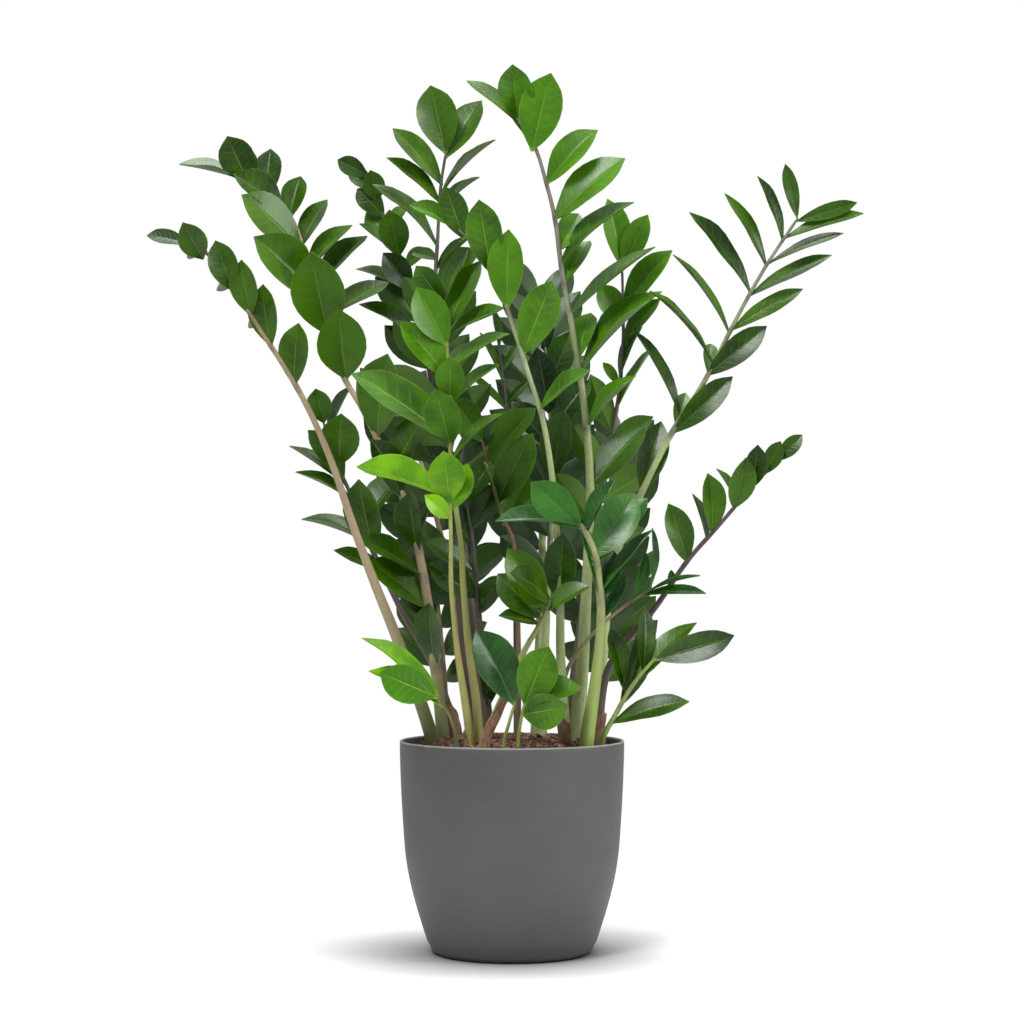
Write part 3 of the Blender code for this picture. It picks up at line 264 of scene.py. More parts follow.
        "thin_back_frond", LeafTone.DARK, StalkTone.DARK, 0.40, 0.10, 0.26,
        ((0.5, 6.5, 18), (0.5, 6.8, 24), (0.2, 9, 45), (-0.6, 10.5, 60), (-1.1, 11, 64),
         (-1.5, 11, 67)),
        ((63, -2.6, 0, 5.6, 0.8), (59.8, -4.4, 0, 4, 1.0), (64.2, 1.9, 0, 3.2, 1.0),
         (60.4, 2.7, 0, 2.8, 1.0), (66.8, -0.8, 0, 4.6, 0.9)),
    ),
    FrondPlan(
        "back_centre_frond", LeafTone.DARK, StalkTone.PALE, 0.70, 0.15, 0.46,
        ((3.2, 3.6, 18), (3.3, 3.8, 24), (4, 5.4, 40), (4.6, 7, 52.2), (4.2, 8.2, 60.6),
         (3.6, 9, 69)),
        ((51.5, 1.2, -1.4, 8, 3.5), (59, -1.5, -1.5, 7.5, 3.6), (62, 2.5, 0, 6.5, 3.2),
         (66, -1.5, 0.6, 7, 3.0), (55, -4.5, 1, 5.5, 3.0), (57, 4.5, 1, 6, 3.2),
         (68.7, 1, 0.4, 6, 3.0)),
        ((38, 50, 3, 7.6, 3.4, 20),),
    ),
    FrondPlan(
        "left_dark_frond", LeafTone.GREEN, StalkTone.DARK, 0.75, 0.15, 0.54,
        ((-5.8, 4, 18), (-6.4, 4.2, 24), (-7.4, 4.6, 27), (-8.9, 5.2, 31.3), (-11.8, 6.6, 36),
         (-13.4, 7.6, 39), (-16.1, 9, 44.5), (-18.4, 10.2, 50.3), (-20.6, 11.2, 54.9),
         (-21.6, 12, 58.6)),
        ((58.3, -0.9, -1, 3.9, 2.9), (56.9, 2.6, 0.6, 5.8, 1.3), (53.4, 0.4, -2.5, 5.8, 4.6),
         (51.8, -4, -1, 5.6, 3.0), (51.2, -6.5, 0.8, 4.5, 0.7), (49.5, -6.4, 0, 3.2, 1.0),
         (44.5, -7.7, 0, 2.8, 1.0), (41, -5.7, 0, 2.8, 1.6), (43.5, -1.6, -2.5, 8.2, 4.2),
         (46.5, 4.5, 2.5, 6, 3.0), (40, 3.4, 3, 5.6, 2.8)),
    ),
    FrondPlan(
        "dark_centre_frond", LeafTone.DARK, StalkTone.DARK, 0.55, 0.14, 0.50,
        ((-2.2, -1, 18), (-2.4, -1, 24), (-3.2, -1.2, 33), (-3.7, -1.4, 38), (-4.2, -1.6, 44),
         (-5, -1.8, 50), (-5.4, -2, 56.2)),
        ((41.2, -5.4, -2, 3.4, 2.2), (38.5, -5.4, -2, 3.8, 3.2), (46, 3, -0.5, 5, 2.4),
         (50, -4.5, -0.5, 5, 3.0), (53, 3.2, 0, 5.5, 2.8), (56, -1.2, 0, 6.5, 3.0),
         (44, -4, 0.8, 5.5, 2.6), (49, 3.2, 1.2, 5.2, 2.8), (37, 2.2, -1.5, 4, 1.3),
         (26.6, -1, -1.4, 6.4, 2.4)),
    ),
    FrondPlan(
        "front_middle_frond", LeafTone.GREEN, StalkTone.STOUT, 0.80, 0.22, 0.50,
        ((-3.0, -7.8, 18), (-2.9, -7.6, 23.2), (-1.8, -7.7, 26), (-0.6, -7.9, 28.8),
         (1.4, -8.4, 33.2), (3.3, -9, 36.4), (4.1, -9.4, 38.4)),
        ((35.9, -4.2, -1, 0.9, 1.4), (36.9, -3.8, -1, 7, 3.8), (37.8, -3.2, -2, 2.6, 2.6),
         (37.3, 4.6, -0.8, 2.6, 1.8), (38.3, -6, -0.5, 5, 2.8), (36.4, -4.6, 0.8, 4.8, 3.4)),
    ),
    FrondPlan(
        "front_teal_frond", LeafTone.TEAL, StalkTone.STOUT, 0.30, 0.16, 0.52,
        ((-1.2, -8.4, 18), (-0.9, -8.7, 23), (-0.3, -9.4, 25.5), (0.3, -10, 27.6)),
        ((27.4, -4, -1, 8, 4.4),),
    ),
    FrondPlan(
        "front_cupped_frond", LeafTone.BRIGHT, StalkTone.STOUT, 0.30, 0.16, 0.62,
        ((0.5, -8.6, 18), (0.6, -9, 23), (0.9, -9.9, 25.5), (1.3, -10.6, 27.6)),
        ((27.4, 2.6, -1, 6.2, 4.3), (26.4, 4.8, -2.6, 1, 3.9), (27, 6.2, -0.5, 2, 2.2)),
    ),
    FrondPlan(
        "left_short_frond", LeafTone.LIME, StalkTone.TAN, 0.32, 0.16, 0.42,
        ((-5.4, -7, 18), (-5.8, -7.4, 23), (-6.6, -8.6, 26.2), (-8, -10, 28.4)),
        ((28.2, -6, -1.5, 2.7, 4.0), (27.6, -8.4, 1.5, 6.8, 1.5), (27.1, -8, 1.2, 3.8, 1.6)),
    ),
    FrondPlan(
        "right_base_frond", LeafTone.GREEN, StalkTone.STOUT, 0.45, 0.18, 0.34,
        ((9.2, -4.7, 18), (9.6, -4.9, 23), (11, -5.8, 26), (12.8, -7.2, 29.3), (15.2, -8.6, 32.3)),
        ((25.2, 8.2, -1.4, 2.4, 2.1), (27, 2.6, 1, 8.8, 2.6), (32.1, 8.4, -1.2, 2.6, 3.1),
         (29.6, 7.4, -0.6, 5.4, 0.8), (30.6, 0.3, 1.5, 7, 2.0), (28.2, -0.8, 1.6, 7.2, 2.4)),
    ),
    FrondPlan(
        "rear_left_frond", LeafTone.DARK, StalkTone.TAN, 0.75, 0.15, 0.44,
        ((-3.8, 8.2, 18), (-4.2, 8.6, 23.5), (-6.4, 12, 38), (-10, 17.4, 52), (-13.4, 22.6, 62)),
        (),
        ((36, 61, 8, 8.4, 3.6, 20),),
    ),
    FrondPlan(
        "rear_centre_frond", LeafTone.DARK, StalkTone.PALE, 0.85, 0.15, 0.44,
        ((2.6, 8, 18), (2.8, 8.4, 23.5), (3.4, 11.4, 42), (3.6, 16, 60), (3, 21.6, 74)),
        (),
        ((42, 73, 9, 8.6, 3.8, -10),),
    ),
    FrondPlan(
        "rear_right_frond", LeafTone.DARK, StalkTone.DARK, 0.75, 0.15, 0.44,
        ((6.6, 7, 18), (6.8, 7.4, 23.5), (8, 10.6, 36), (10.6, 15.6, 48), (12.6, 20.6, 57)),
        (),
        ((34, 56, 7, 8.2, 3.6, -20),),
    ),
    FrondPlan(
        "rear_low_left_frond", LeafTone.GREEN, StalkTone.TAN, 0.55, 0.15, 0.46,
        ((-7, 7, 18), (-7.3, 7.3, 23.5), (-7.8, 10, 31), (-8.6, 13.6, 38.4), (-9.4, 17, 43)),
        (),
        ((29, 42.4, 5, 7.4, 3.4, 30),),
    ),
    FrondPlan(
        "rear_low_right_frond", LeafTone.GREEN, StalkTone.STOUT, 0.50, 0.15, 0.46,
        ((9, 4.8, 18), (9.2, 5.4, 23.5), (10.2, 9.4, 30.6), (11.6, 14.6, 37), (12.4, 19, 41)),
        (),
        ((29, 40.4, 5, 7.2, 3.2, -30),),
    ),
)

# Dry sheaths: name, the frond whose stalk it wraps, lift above the soil, height, the direction of
# its opening and how much of the turn it covers, both in degrees
SHEATHS: tuple[tuple[str, str, float, float, float, float], ...] = (
    ("middle_sheath", "front_middle_frond", 0.1, 6.6, 150, 240),
    ("young_sheath", "young_low_frond", 0.1, 2.0, -35, 230),
    ("light_sheath", "light_centre_frond", 0.1, 3.4, 40, 250),
    ("dark_left_sheath", "left_dark_frond", 0.1, 4.6, 120, 230),
    ("right_sheath", "right_low_frond", 0.1, 4.2, 120, 240),
)


# Modelling steps ----------------------------------------


def deselect_all() -> None:
    """Leave edit mode and deselect every object."""
    if bpy.context.mode != "OBJECT":
        bpy.ops.object.mode_set(mode="OBJECT")
    bpy.ops.object.select_all(action="DESELECT")


def activate(piece: Piece) -> None:
    """Make this the one selected, active object."""
    deselect_all()
    piece.select_set(True)
    bpy.context.view_layer.objects.active = piece


def apply_place(piece: Piece) -> None:
    """Put the object's place, turn and scale into its mesh."""
    activate(piece)
    bpy.ops.object.transform_apply(location=True, rotation=True, scale=True)


def apply_modifier(piece: Piece, kind: str, **settings: object) -> None:
    """Add a modifier with these settings and apply it at once.

    Args:
        piece: the object to finish.
        kind: the modifier's type.
        **settings: its properties by name.
    """
    activate(piece)
    modifier = piece.modifiers.new(kind.title(), kind)
    for key, value in settings.items():
        setattr(modifier, key, value)
    bpy.ops.object.modifier_apply(modifier=modifier.name)


def shade(piece: Piece, degrees: float = 40.0) -> None:
    """Shade smooth, with edges sharper than this angle left sharp."""
    activate(piece)
    bpy.ops.object.shade_smooth_by_angle(angle=math.radians(degrees))


def join(pieces: list[Piece], name: str) -> Piece:
    """Join pieces into the first of them.

    Args:
        pieces: the objects to join.
        name: the joined piece's name.

    Returns:
        The joined object.
    """
    deselect_all()
    for piece in pieces:
        piece.select_set(True)
    bpy.context.view_layer.objects.active = pieces[0]
    if len(pieces) > 1:
        bpy.ops.object.join()
    pieces[0].name = name
    pieces[0].data.name = name
    return pieces[0]


def select_where(piece: Piece, chosen: Callable[[Vector], bool]) -> None:
    """In edit mode, select just the vertices at the places that the test accepts.

    Args:
        piece: the piece in edit mode.
        chosen: the test of a vertex's place.
    """
    bpy.ops.mesh.select_all(action="DESELECT")
    shape = bmesh.from_edit_mesh(piece.data)
    for vert in shape.verts:
        vert.select = chosen(vert.co)
    shape.select_flush_mode()
    bmesh.update_edit_mesh(piece.data)


def raised_rings(name: str, profile: list[tuple[float, float]], sides: int) -> Piece:
    """Model a turned solid as by hand: a disc, extruded and resized ring after ring.

    Args:
        name: the piece's name.
        profile: the rings' (radius, height) in cm, from the first disc to the last.
        sides: the number of sides.

    Returns:
        The closed solid, its place in its mesh.
    """
    deselect_all()
    radius, height = profile[0]
    bpy.ops.mesh.primitive_circle_add(
        vertices=sides, radius=radius * CM, fill_type="NGON", location=(0, 0, height * CM)
    )
    piece = bpy.context.object
    piece.name = name
    bpy.ops.object.mode_set(mode="EDIT")
    bpy.ops.mesh.select_all(action="SELECT")
    for (last, low), (radius, height) in zip(profile, profile[1:]):
        bpy.ops.mesh.extrude_region_move(
            TRANSFORM_OT_translate={"value": (0, 0, (height - low) * CM)}
        )
        bpy.ops.transform.resize(
            value=(radius / last, radius / last, 1), center_override=(0, 0, height * CM)
        )
    bpy.ops.mesh.select_all(action="SELECT")
    bpy.ops.mesh.normals_make_consistent(inside=False)
    apply_place(piece)
    return piece


def put_out(name: str, shape: bpy.types.ID) -> Piece:
    """Add an object that shows this mesh or curve to the scene."""
    piece = bpy.data.objects.new(name, shape)
    bpy.context.scene.collection.objects.link(piece)
    return piece


def tube(
    name: str, spots: list[tuple[Point, float]], thickness: float, smoothness: int
) -> Piece:
    """Model a round tube with closed ends as a curve, and make it a mesh.

    Args:
        name: the piece's name.
        spots: each point in metres, with how thick the tube is there.
        thickness: the radius in metres that a thickness of 1 stands for.
        smoothness: the curve's bevel resolution.

    Returns:
        The tube, its place in its mesh.
    """
    curve = bpy.data.curves.new(name, "CURVE")
    curve.dimensions = "3D"
    curve.bevel_depth = thickness
    curve.bevel_resolution = smoothness
    curve.use_fill_caps = True
    spline = curve.splines.new("POLY")
    spline.points.add(len(spots) - 1)
    for point, (place, thick) in zip(spline.points, spots):
        point.co = (*place, 1)
        point.radius = thick
    activate(put_out(name, curve))
    bpy.ops.object.convert(target="MESH")
    return bpy.context.object


def store(mesh: bpy.types.Mesh, name: str, values: float | np.ndarray) -> None:
    """Write a float for each vertex of the mesh under this name."""
    layer = mesh.attributes.get(name) or mesh.attributes.new(name, "FLOAT", "POINT")
    values = np.broadcast_to(np.asarray(values, np.float32), (len(mesh.vertices),))
    layer.data.foreach_set("value", np.ascontiguousarray(values))


def dress(
    piece: Piece, finish: Material, slot: str, *nodes: str
) -> Piece:
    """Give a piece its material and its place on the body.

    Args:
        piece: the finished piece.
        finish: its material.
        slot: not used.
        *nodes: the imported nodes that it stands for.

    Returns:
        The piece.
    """
    piece.data.materials.clear()
    piece.data.materials.append(finish)
    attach(piece, "root")
    if nodes:
        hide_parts(*nodes)
    LOG.info("%s: %d faces, for %s", piece.name, len(piece.data.polygons), ", ".join(nodes) or "-")
    return piece


# Materials ----------------------------------------


class Graph:
    """Adds nodes to a shader or group tree and joins them, in the order light would meet them."""

    def __init__(self, tree: Tree) -> None:
        """Work on this tree."""
        self.tree = tree

    def node(self, kind: str, **inputs: object) -> Node:
        """Add a node and fill or join its inputs.

        Args:
            kind: the node's type without its ShaderNode prefix.
            **inputs: each input's value, or the socket it is joined to; _ stands for a space.

        Returns:
            The node.
        """
        made = self.tree.nodes.new("ShaderNode" + kind)
        for key, value in inputs.items():
            self.put(value, made.inputs[key.replace("_", " ")])
        return made

    def put(self, value: object, socket: Socket) -> None:
        """Set a socket to a value or join it to another socket.

        Args:
            value: the value, or the socket to join.
            socket: the socket to fill.
        """
        if isinstance(value, Socket):
            self.tree.links.new(value, socket)
        else:
            socket.default_value = value

    def math(self, operation: str, *numbers: object) -> Socket:
        """Combine up to three numbers or sockets with this operation of the Math node.

        Args:
            operation: the node's operation.
            *numbers: the numbers or sockets.

        Returns:
            The result's socket.
        """
        made = self.tree.nodes.new("ShaderNodeMath")
        made.operation = operation
        for number, socket in zip(numbers, made.inputs):
            self.put(number, socket)
        return made.outputs[0]

    def smooth(
        self, value: object, start: object, end: object, low: object = 0.0, high: object = 1.0
    ) -> Socket:
        """Ease from low to high as the value goes from start to end.

        Args:
            value: the number that runs.
            start: where the result is low.
            end: where the result is high.
            low: the result at the start.
            high: the result at the end.

        Returns:
            The result's socket.
        """
        made = self.tree.nodes.new("ShaderNodeMapRange")
        made.interpolation_type = "SMOOTHSTEP"
        for socket, number in zip(made.inputs, (value, start, end, low, high)):
            self.put(number, socket)
        return made.outputs[0]

    def blend(self, factor: object, first: object, second: object) -> Socket:
        """Mix two colours.

        Args:
            factor: 0 for the first, 1 for the second.
            first: a colour or socket.
            second: a colour or socket.

        Returns:
            The mixed colour's socket.
        """
        made = self.tree.nodes.new("ShaderNodeMix")
        made.data_type = "RGBA"
        self.put(factor, made.inputs[0])
        self.put(first, made.inputs[6])
        self.put(second, made.inputs[7])
        return made.outputs[2]

    def tint(
        self, colour: object, towards: Colour, mask: object, strength: float
    ) -> Socket:
        """Mix a colour towards another by the strength where the mask is 1."""
        return self.blend(self.math("MULTIPLY", mask, strength), colour, towards)

    def grain(self, vector: object, scale: float, detail: float) -> Socket:
        """A soft noise of this scale over the vector."""
        return self.node("TexNoise", Vector=vector, Scale=scale, Detail=detail).outputs[0]

    def stretched(self, vector: object, scale: Point) -> Socket:
        """The vector through a Mapping node with this scale."""
        return self.node("Mapping", Vector=vector, Scale=scale).outputs[0]

    def place(self) -> Socket:
        """The point on the piece, in its own space."""
        return self.tree.nodes.new("ShaderNodeTexCoord").outputs["Object"]

    def from_axis(self, place: object) -> Socket:
        """How far a point is from the upright axis through the pot."""
        parts = self.node("SeparateXYZ", Vector=place).outputs
        squares = [self.math("POWER", part, 2.0) for part in parts[:2]]
        return self.math("SQRT", self.math("ADD", *squares))

    def attribute(self, name: str) -> Socket:
        """The number that the mesh carries under this name."""
        made = self.tree.nodes.new("ShaderNodeAttribute")
        made.attribute_name = name
        return made.outputs["Fac"]

    def group(self, tree: Tree, **inputs: object) -> Node:
        """Place a node group with these inputs.

        Args:
            tree: the group.
            **inputs: each input's value or socket by name.

        Returns:
            The group's node.
        """
        made = self.tree.nodes.new("ShaderNodeGroup")
        made.node_tree = tree
        for key, value in inputs.items():
            self.put(value, made.inputs[key])
        return made


def new_group(
    name: str, inputs: dict[str, tuple[str, float]], outputs: tuple[str, ...]
) -> tuple[Graph, Node, Node]:
    """Start a shader node group.

    Args:
        name: the group's name.
        inputs: each input's socket type and default by name.
        outputs: the names of its float outputs.

    Returns:
        The group's graph, its input node and its output node.
    """
    tree = bpy.data.node_groups.new(name, "ShaderNodeTree")
    for key, (kind, default) in inputs.items():
        socket = tree.interface.new_socket(key, in_out="INPUT", socket_type=kind)
        if kind == "NodeSocketFloat":
            socket.default_value = default
    for key in outputs:
        tree.interface.new_socket(key, in_out="OUTPUT", socket_type="NodeSocketFloat")
    return Graph(tree), tree.nodes.new("NodeGroupInput"), tree.nodes.new("NodeGroupOutput")


def leaf_pattern_group() -> Tree:
    """The pattern of a leaf on its UV map, with u across the blade and v along it.

    Returns:
        A group that gives the midrib, the side veins, the margin, the stalk end and a height.
    """
    graph, given, out = new_group(
        "leaf_pattern",
        {"UV": ("NodeSocketVector", 0.0), "Veins": ("NodeSocketFloat", 11.0)},
        ("Midrib", "Side veins", "Margin", "Stalk end", "Height"),
    )
    parts = graph.node("SeparateXYZ", Vector=given.outputs["UV"])
    along = parts.outputs[1]
    centred = graph.math("SUBTRACT", parts.outputs[0], 0.5)
    across = graph.math("MULTIPLY", graph.math("ABSOLUTE", centred), 2.0)
    width = graph.smooth(along, 0.0, 1.0, 0.13, 0.045)
    midrib = graph.smooth(across, width, 0.0)
    wander = graph.grain(given.outputs["UV"], 5.0, 1.0)
    phase = graph.math("MULTIPLY_ADD", graph.math("POWER", across, 0.8), -0.16, along)
    phase = graph.math("MULTIPLY_ADD", wander, 0.03, phase)
    phase = graph.math("FRACT", graph.math("MULTIPLY", phase, given.outputs["Veins"]))
    ridge = graph.math("ABSOLUTE", graph.math("SUBTRACT", phase, 0.5))
    fade = graph.smooth(across, 1.0, 0.55)
    side = graph.math("MULTIPLY", graph.smooth(ridge, 0.16, 0.0), fade)
    margin = graph.smooth(across, 0.9, 1.0)
    stalk_end = graph.smooth(along, 0.12, 0.0)
    height = graph.math("SUBTRACT", graph.math("MULTIPLY", side, -0.35), midrib)
    for result, socket in zip((midrib, side, margin, stalk_end, height), out.inputs):
        graph.put(result, socket)
    return graph.tree


def mottle_group() -> Tree:
    """Broad and fine mottling, for living and made surfaces alike.

    Returns:
        A group that gives a broad tone, a fine grain and small sparse specks.
    """
    graph, given, out = new_group(
        "mottle",
        {
            "Place": ("NodeSocketVector", 0.0),
            "Broad": ("NodeSocketFloat", 20.0),
            "Fine": ("NodeSocketFloat", 400.0),
            "Specks": ("NodeSocketFloat", 300.0),
            "Speck size": ("NodeSocketFloat", 0.12),
        },
        ("Tone", "Grain", "Specks"),
    )
    place = given.outputs["Place"]
    broad = graph.node("TexNoise", Vector=place, Scale=given.outputs["Broad"], Detail=3.0)
    fine = graph.node("TexNoise", Vector=place, Scale=given.outputs["Fine"], Detail=4.0)
    cells = graph.node("TexVoronoi", Vector=place, Scale=given.outputs["Specks"])
    pick = graph.node("SeparateXYZ", Vector=cells.outputs["Color"])
    near = graph.math("LESS_THAN", cells.outputs["Distance"], given.outputs["Speck size"])
    rare = graph.math("GREATER_THAN", pick.outputs[0], 0.6)
    graph.put(graph.smooth(broad.outputs[0], 0.3, 0.7), out.inputs["Tone"])
    graph.put(fine.outputs[0], out.inputs["Grain"])
    graph.put(graph.math("MULTIPLY", near, rare), out.inputs["Specks"])
    return graph.tree


@dataclass(frozen=True)
class Finish:
    """What every finish has: a name, a roughness and how its shader is begun."""

    name: str
    roughness: float

    def begin(self) -> tuple[Material, Graph, Node]:
        """Start the material.

        Returns:
            The material, its graph and its Principled BSDF.
        """
        made = bpy.data.materials.new(self.name)
        made.use_nodes = True
        graph = Graph(made.node_tree)
        shader = made.node_tree.nodes["Principled BSDF"]
        shader.inputs["Roughness"].default_value = self.roughness
        return made, graph, shader

    def mottling(
        self, graph: Graph, mottle: Tree, place: object, scales: Point, speck: float
    ) -> Outputs:
        """Place the mottle group.

        Args:
            graph: the material's graph.
            mottle: the mottle group.
            place: the vector that it runs over.
            scales: how fine its clouds, its grain and its specks are.
            speck: the size of a speck as a share of its cell.

        Returns:
            The group's outputs.
        """
        broad, fine, specks = scales
        made = graph.group(mottle, Place=place, Broad=broad, Fine=fine, Specks=specks)
        made.inputs["Speck size"].default_value = speck
        return made.outputs

    def uneven_roughness(
        self, graph: Graph, grain: object, spread: float
    ) -> Socket:
        """The finish's roughness, spread this far over its grain."""
        return graph.math("MULTIPLY_ADD", grain, spread, self.roughness - spread / 2)

    def relief(self, graph: Graph, shader: Node, height: object, depth: float) -> None:
        """Bump the surface by this height, at most this deep in metres."""
        bump = graph.node("Bump", Height=height, Distance=depth, Strength=1.0)
        graph.put(bump.outputs[0], shader.inputs["Normal"])


@dataclass(frozen=True)
class LeafFinish(Finish):
    """A waxy green blade: its shaded and its bright green, its rib and its pale underside."""

    deep: Colour
    light: Colour
    rib: Colour
    under: Colour
    gloss: float
    cloudiness: float = 0.40
    veins: float = 0.09
    margin: float = 0.16
    midrib: float = 0.7
    stalk_end: float = 0.8
    specks: float = 0.25
    grain: float = 0.16
    dull_under: float = 0.18

    def make(self, pattern: Tree, mottle: Tree) -> Material:
        """Build the material.

        Args:
            pattern: the leaf pattern group.
            mottle: the mottle group.

        Returns:
            The leaf's material.
        """
        made, graph, shader = self.begin()
        blade = graph.group(pattern, UV=graph.node("UVMap").outputs[0]).outputs
        spots = self.mottling(graph, mottle, graph.place(), (34.0, 260.0, 420.0), 0.09)
        tone = graph.math(
            "MULTIPLY_ADD", spots["Tone"], self.cloudiness,
            graph.math("SUBTRACT", graph.attribute("tone"), self.cloudiness / 2),
        )
        green = graph.blend(graph.smooth(tone, 0.0, 1.0), self.deep, self.light)
        green = graph.tint(green, self.rib, blade["Side veins"], self.veins)
        green = graph.tint(green, self.rib, blade["Margin"], self.margin)
        green = graph.tint(green, self.rib, blade["Midrib"], self.midrib)
        under = graph.tint(self.under, self.rib, blade["Midrib"], self.midrib)
        colour = graph.blend(graph.attribute("under"), green, under)
        colour = graph.tint(colour, self.rib, blade["Stalk end"], self.stalk_end)
        colour = graph.tint(colour, self.rib, spots["Specks"], self.specks)
        graph.put(colour, shader.inputs["Base Color"])
        rough = self.uneven_roughness(graph, spots["Grain"], self.grain)
        rough = graph.math("MULTIPLY_ADD", graph.attribute("under"), self.dull_under, rough)
        graph.put(rough, shader.inputs["Roughness"])
        shader.inputs["Coat Weight"].default_value = self.gloss
        shader.inputs["Coat Roughness"].default_value = 0.2
        shader.inputs["Specular IOR Level"].default_value = 0.24
        shader.inputs["Subsurface Weight"].default_value = 0.12
        shader.inputs["Subsurface Radius"].default_value = (0.4, 1.0, 0.15)
        shader.inputs["Subsurface Scale"].default_value = 0.004
        height = graph.math("MULTIPLY_ADD", spots["Grain"], 0.25, blade["Height"])
        self.relief(graph, shader, height, 0.00022)
        return made


@dataclass(frozen=True)
class StalkFinish(Finish):
    """A fleshy stalk: its colours at the foot and higher up, its flecks, and where they change."""

    foot: Colour
    upper: Colour
    fleck: Colour
    turn: float
    spread: float
    clouds: float = 0.22
    flecks: float = 0.3
    nodes: float = 0.8

    def make(self, mottle: Tree) -> Material:
        """Build the material.

        Args:
            mottle: the mottle group.

        Returns:
            The stalk's material.
        """
        made, graph, shader = self.begin()
        place = graph.place()
        long = graph.stretched(place, (1.0, 1.0, 0.35))
        spots = self.mottling(graph, mottle, long, (70.0, 900.0, 520.0), 0.34)
        height = graph.node("SeparateXYZ", Vector=place).outputs[2]
        height = graph.math("MULTIPLY_ADD", spots["Tone"], 0.05, height)
        start, end = self.turn - self.spread / 2, self.turn + self.spread / 2
        colour = graph.blend(graph.smooth(height, start, end), self.foot, self.upper)
        colour = graph.tint(colour, self.fleck, spots["Tone"], self.clouds)
        colour = graph.tint(colour, self.fleck, spots["Specks"], self.flecks)
        colour = graph.tint(colour, self.fleck, graph.attribute("node"), self.nodes)
        graph.put(colour, shader.inputs["Base Color"])
        shader.inputs["Coat Weight"].default_value = 0.12
        shader.inputs["Subsurface Weight"].default_value = 0.06
        shader.inputs["Subsurface Scale"].default_value = 0.004
        relief = graph.math("SUBTRACT", spots["Grain"], spots["Specks"])
        self.relief(graph, shader, relief, 0.0005)
        return made


@dataclass(frozen=True)
class PotFinish(Finish):
    """Matt moulded plastic: a warm grey, mottled, with a painted highlight along the lip, painted
    shade on the inner wall below it and a few pale specks.
    """

    body: Colour
    shade: Colour
    # The pale colour of the specks and of the painted highlight along the lip
    lip: Colour
    # The colour of the painted shade on the inner wall
    inside: Colour
    specks: float = 0.10
    lip_highlight: float = 0.75
    grain: float = 0.12

    def make(self, mottle: Tree, radius: float, height: float) -> Material:
        """Build the material.

        Args:
            mottle: the mottle group.
            radius: the rim's radius in metres.
            height: the pot's height in metres.

        Returns:
            The pot's material.
        """
        made, graph, shader = self.begin()
        place = graph.place()
        spots = self.mottling(graph, mottle, place, (9.0, 700.0, 190.0), 0.09)
        brushed = graph.grain(graph.stretched(place, (1.0, 1.0, 7.0)), 60.0, 5.0)
        clouds = graph.math("MULTIPLY", spots["Tone"], 0.45)
        tone = graph.math("MULTIPLY_ADD", brushed, 0.5, clouds)
        colour = graph.blend(tone, self.body, self.shade)
        colour = graph.tint(colour, self.lip, spots["Specks"], self.specks)
        level = graph.node("SeparateXYZ", Vector=place).outputs[2]
        # Painted highlight: the top of the lip is tinted towards the pale lip colour
        lip = graph.smooth(level, height - 0.0022, height - 0.0006)
        colour = graph.tint(colour, self.lip, lip, self.lip_highlight)
        # Painted shade: the inner wall below the lip, in the top fifth of the pot, is blended to
        # the dark inside colour
        below = graph.smooth(level, height - 0.0010, height - 0.0040)
        painted_inner_shade = graph.smooth(graph.from_axis(place), radius - 0.0024, radius - 0.0034)
        painted_inner_shade = graph.math("MULTIPLY", painted_inner_shade, graph.math("GREATER_THAN", level, height * 0.8))
        colour = graph.blend(graph.math("MULTIPLY", painted_inner_shade, below), colour, self.inside)
        graph.put(colour, shader.inputs["Base Color"])
        rough = self.uneven_roughness(graph, spots["Grain"], self.grain)
        graph.put(rough, shader.inputs["Roughness"])
        relief = graph.math("MULTIPLY_ADD", brushed, 0.5, spots["Grain"])
        self.relief(graph, shader, relief, 0.00025)
        return made


@dataclass(frozen=True)
class BarkFinish(Finish):
    """Dry or damp bark, coir and papery sheath: two browns that vary by piece, with fibres."""

    dark: Colour
    light: Colour
    fibre: Point = (1.0, 1.0, 0.2)
    depth: float = 0.0012

    def make(self, mottle: Tree) -> Material:
        """Build the material.

        Args:
            mottle: the mottle group.

        Returns:
            The bark's material.
        """
        made, graph, shader = self.begin()
        place = graph.place()
        spots = self.mottling(graph, mottle, place, (120.0, 800.0, 500.0), 0.2)
        threads = graph.grain(graph.stretched(place, self.fibre), 700.0, 4.0)
        clouds = graph.math("MULTIPLY", spots["Tone"], 0.4)
        tone = graph.math("MULTIPLY_ADD", graph.attribute("tone"), 0.6, clouds)
        colour = graph.blend(tone, self.dark, self.light)
        colour = graph.blend(graph.smooth(threads, 0.55, 0.35, 0.0, 0.6), colour, self.dark)
        graph.put(colour, shader.inputs["Base Color"])
        relief = graph.math("MULTIPLY_ADD", spots["Grain"], 0.6, threads)
        self.relief(graph, shader, relief, self.depth)
        return made


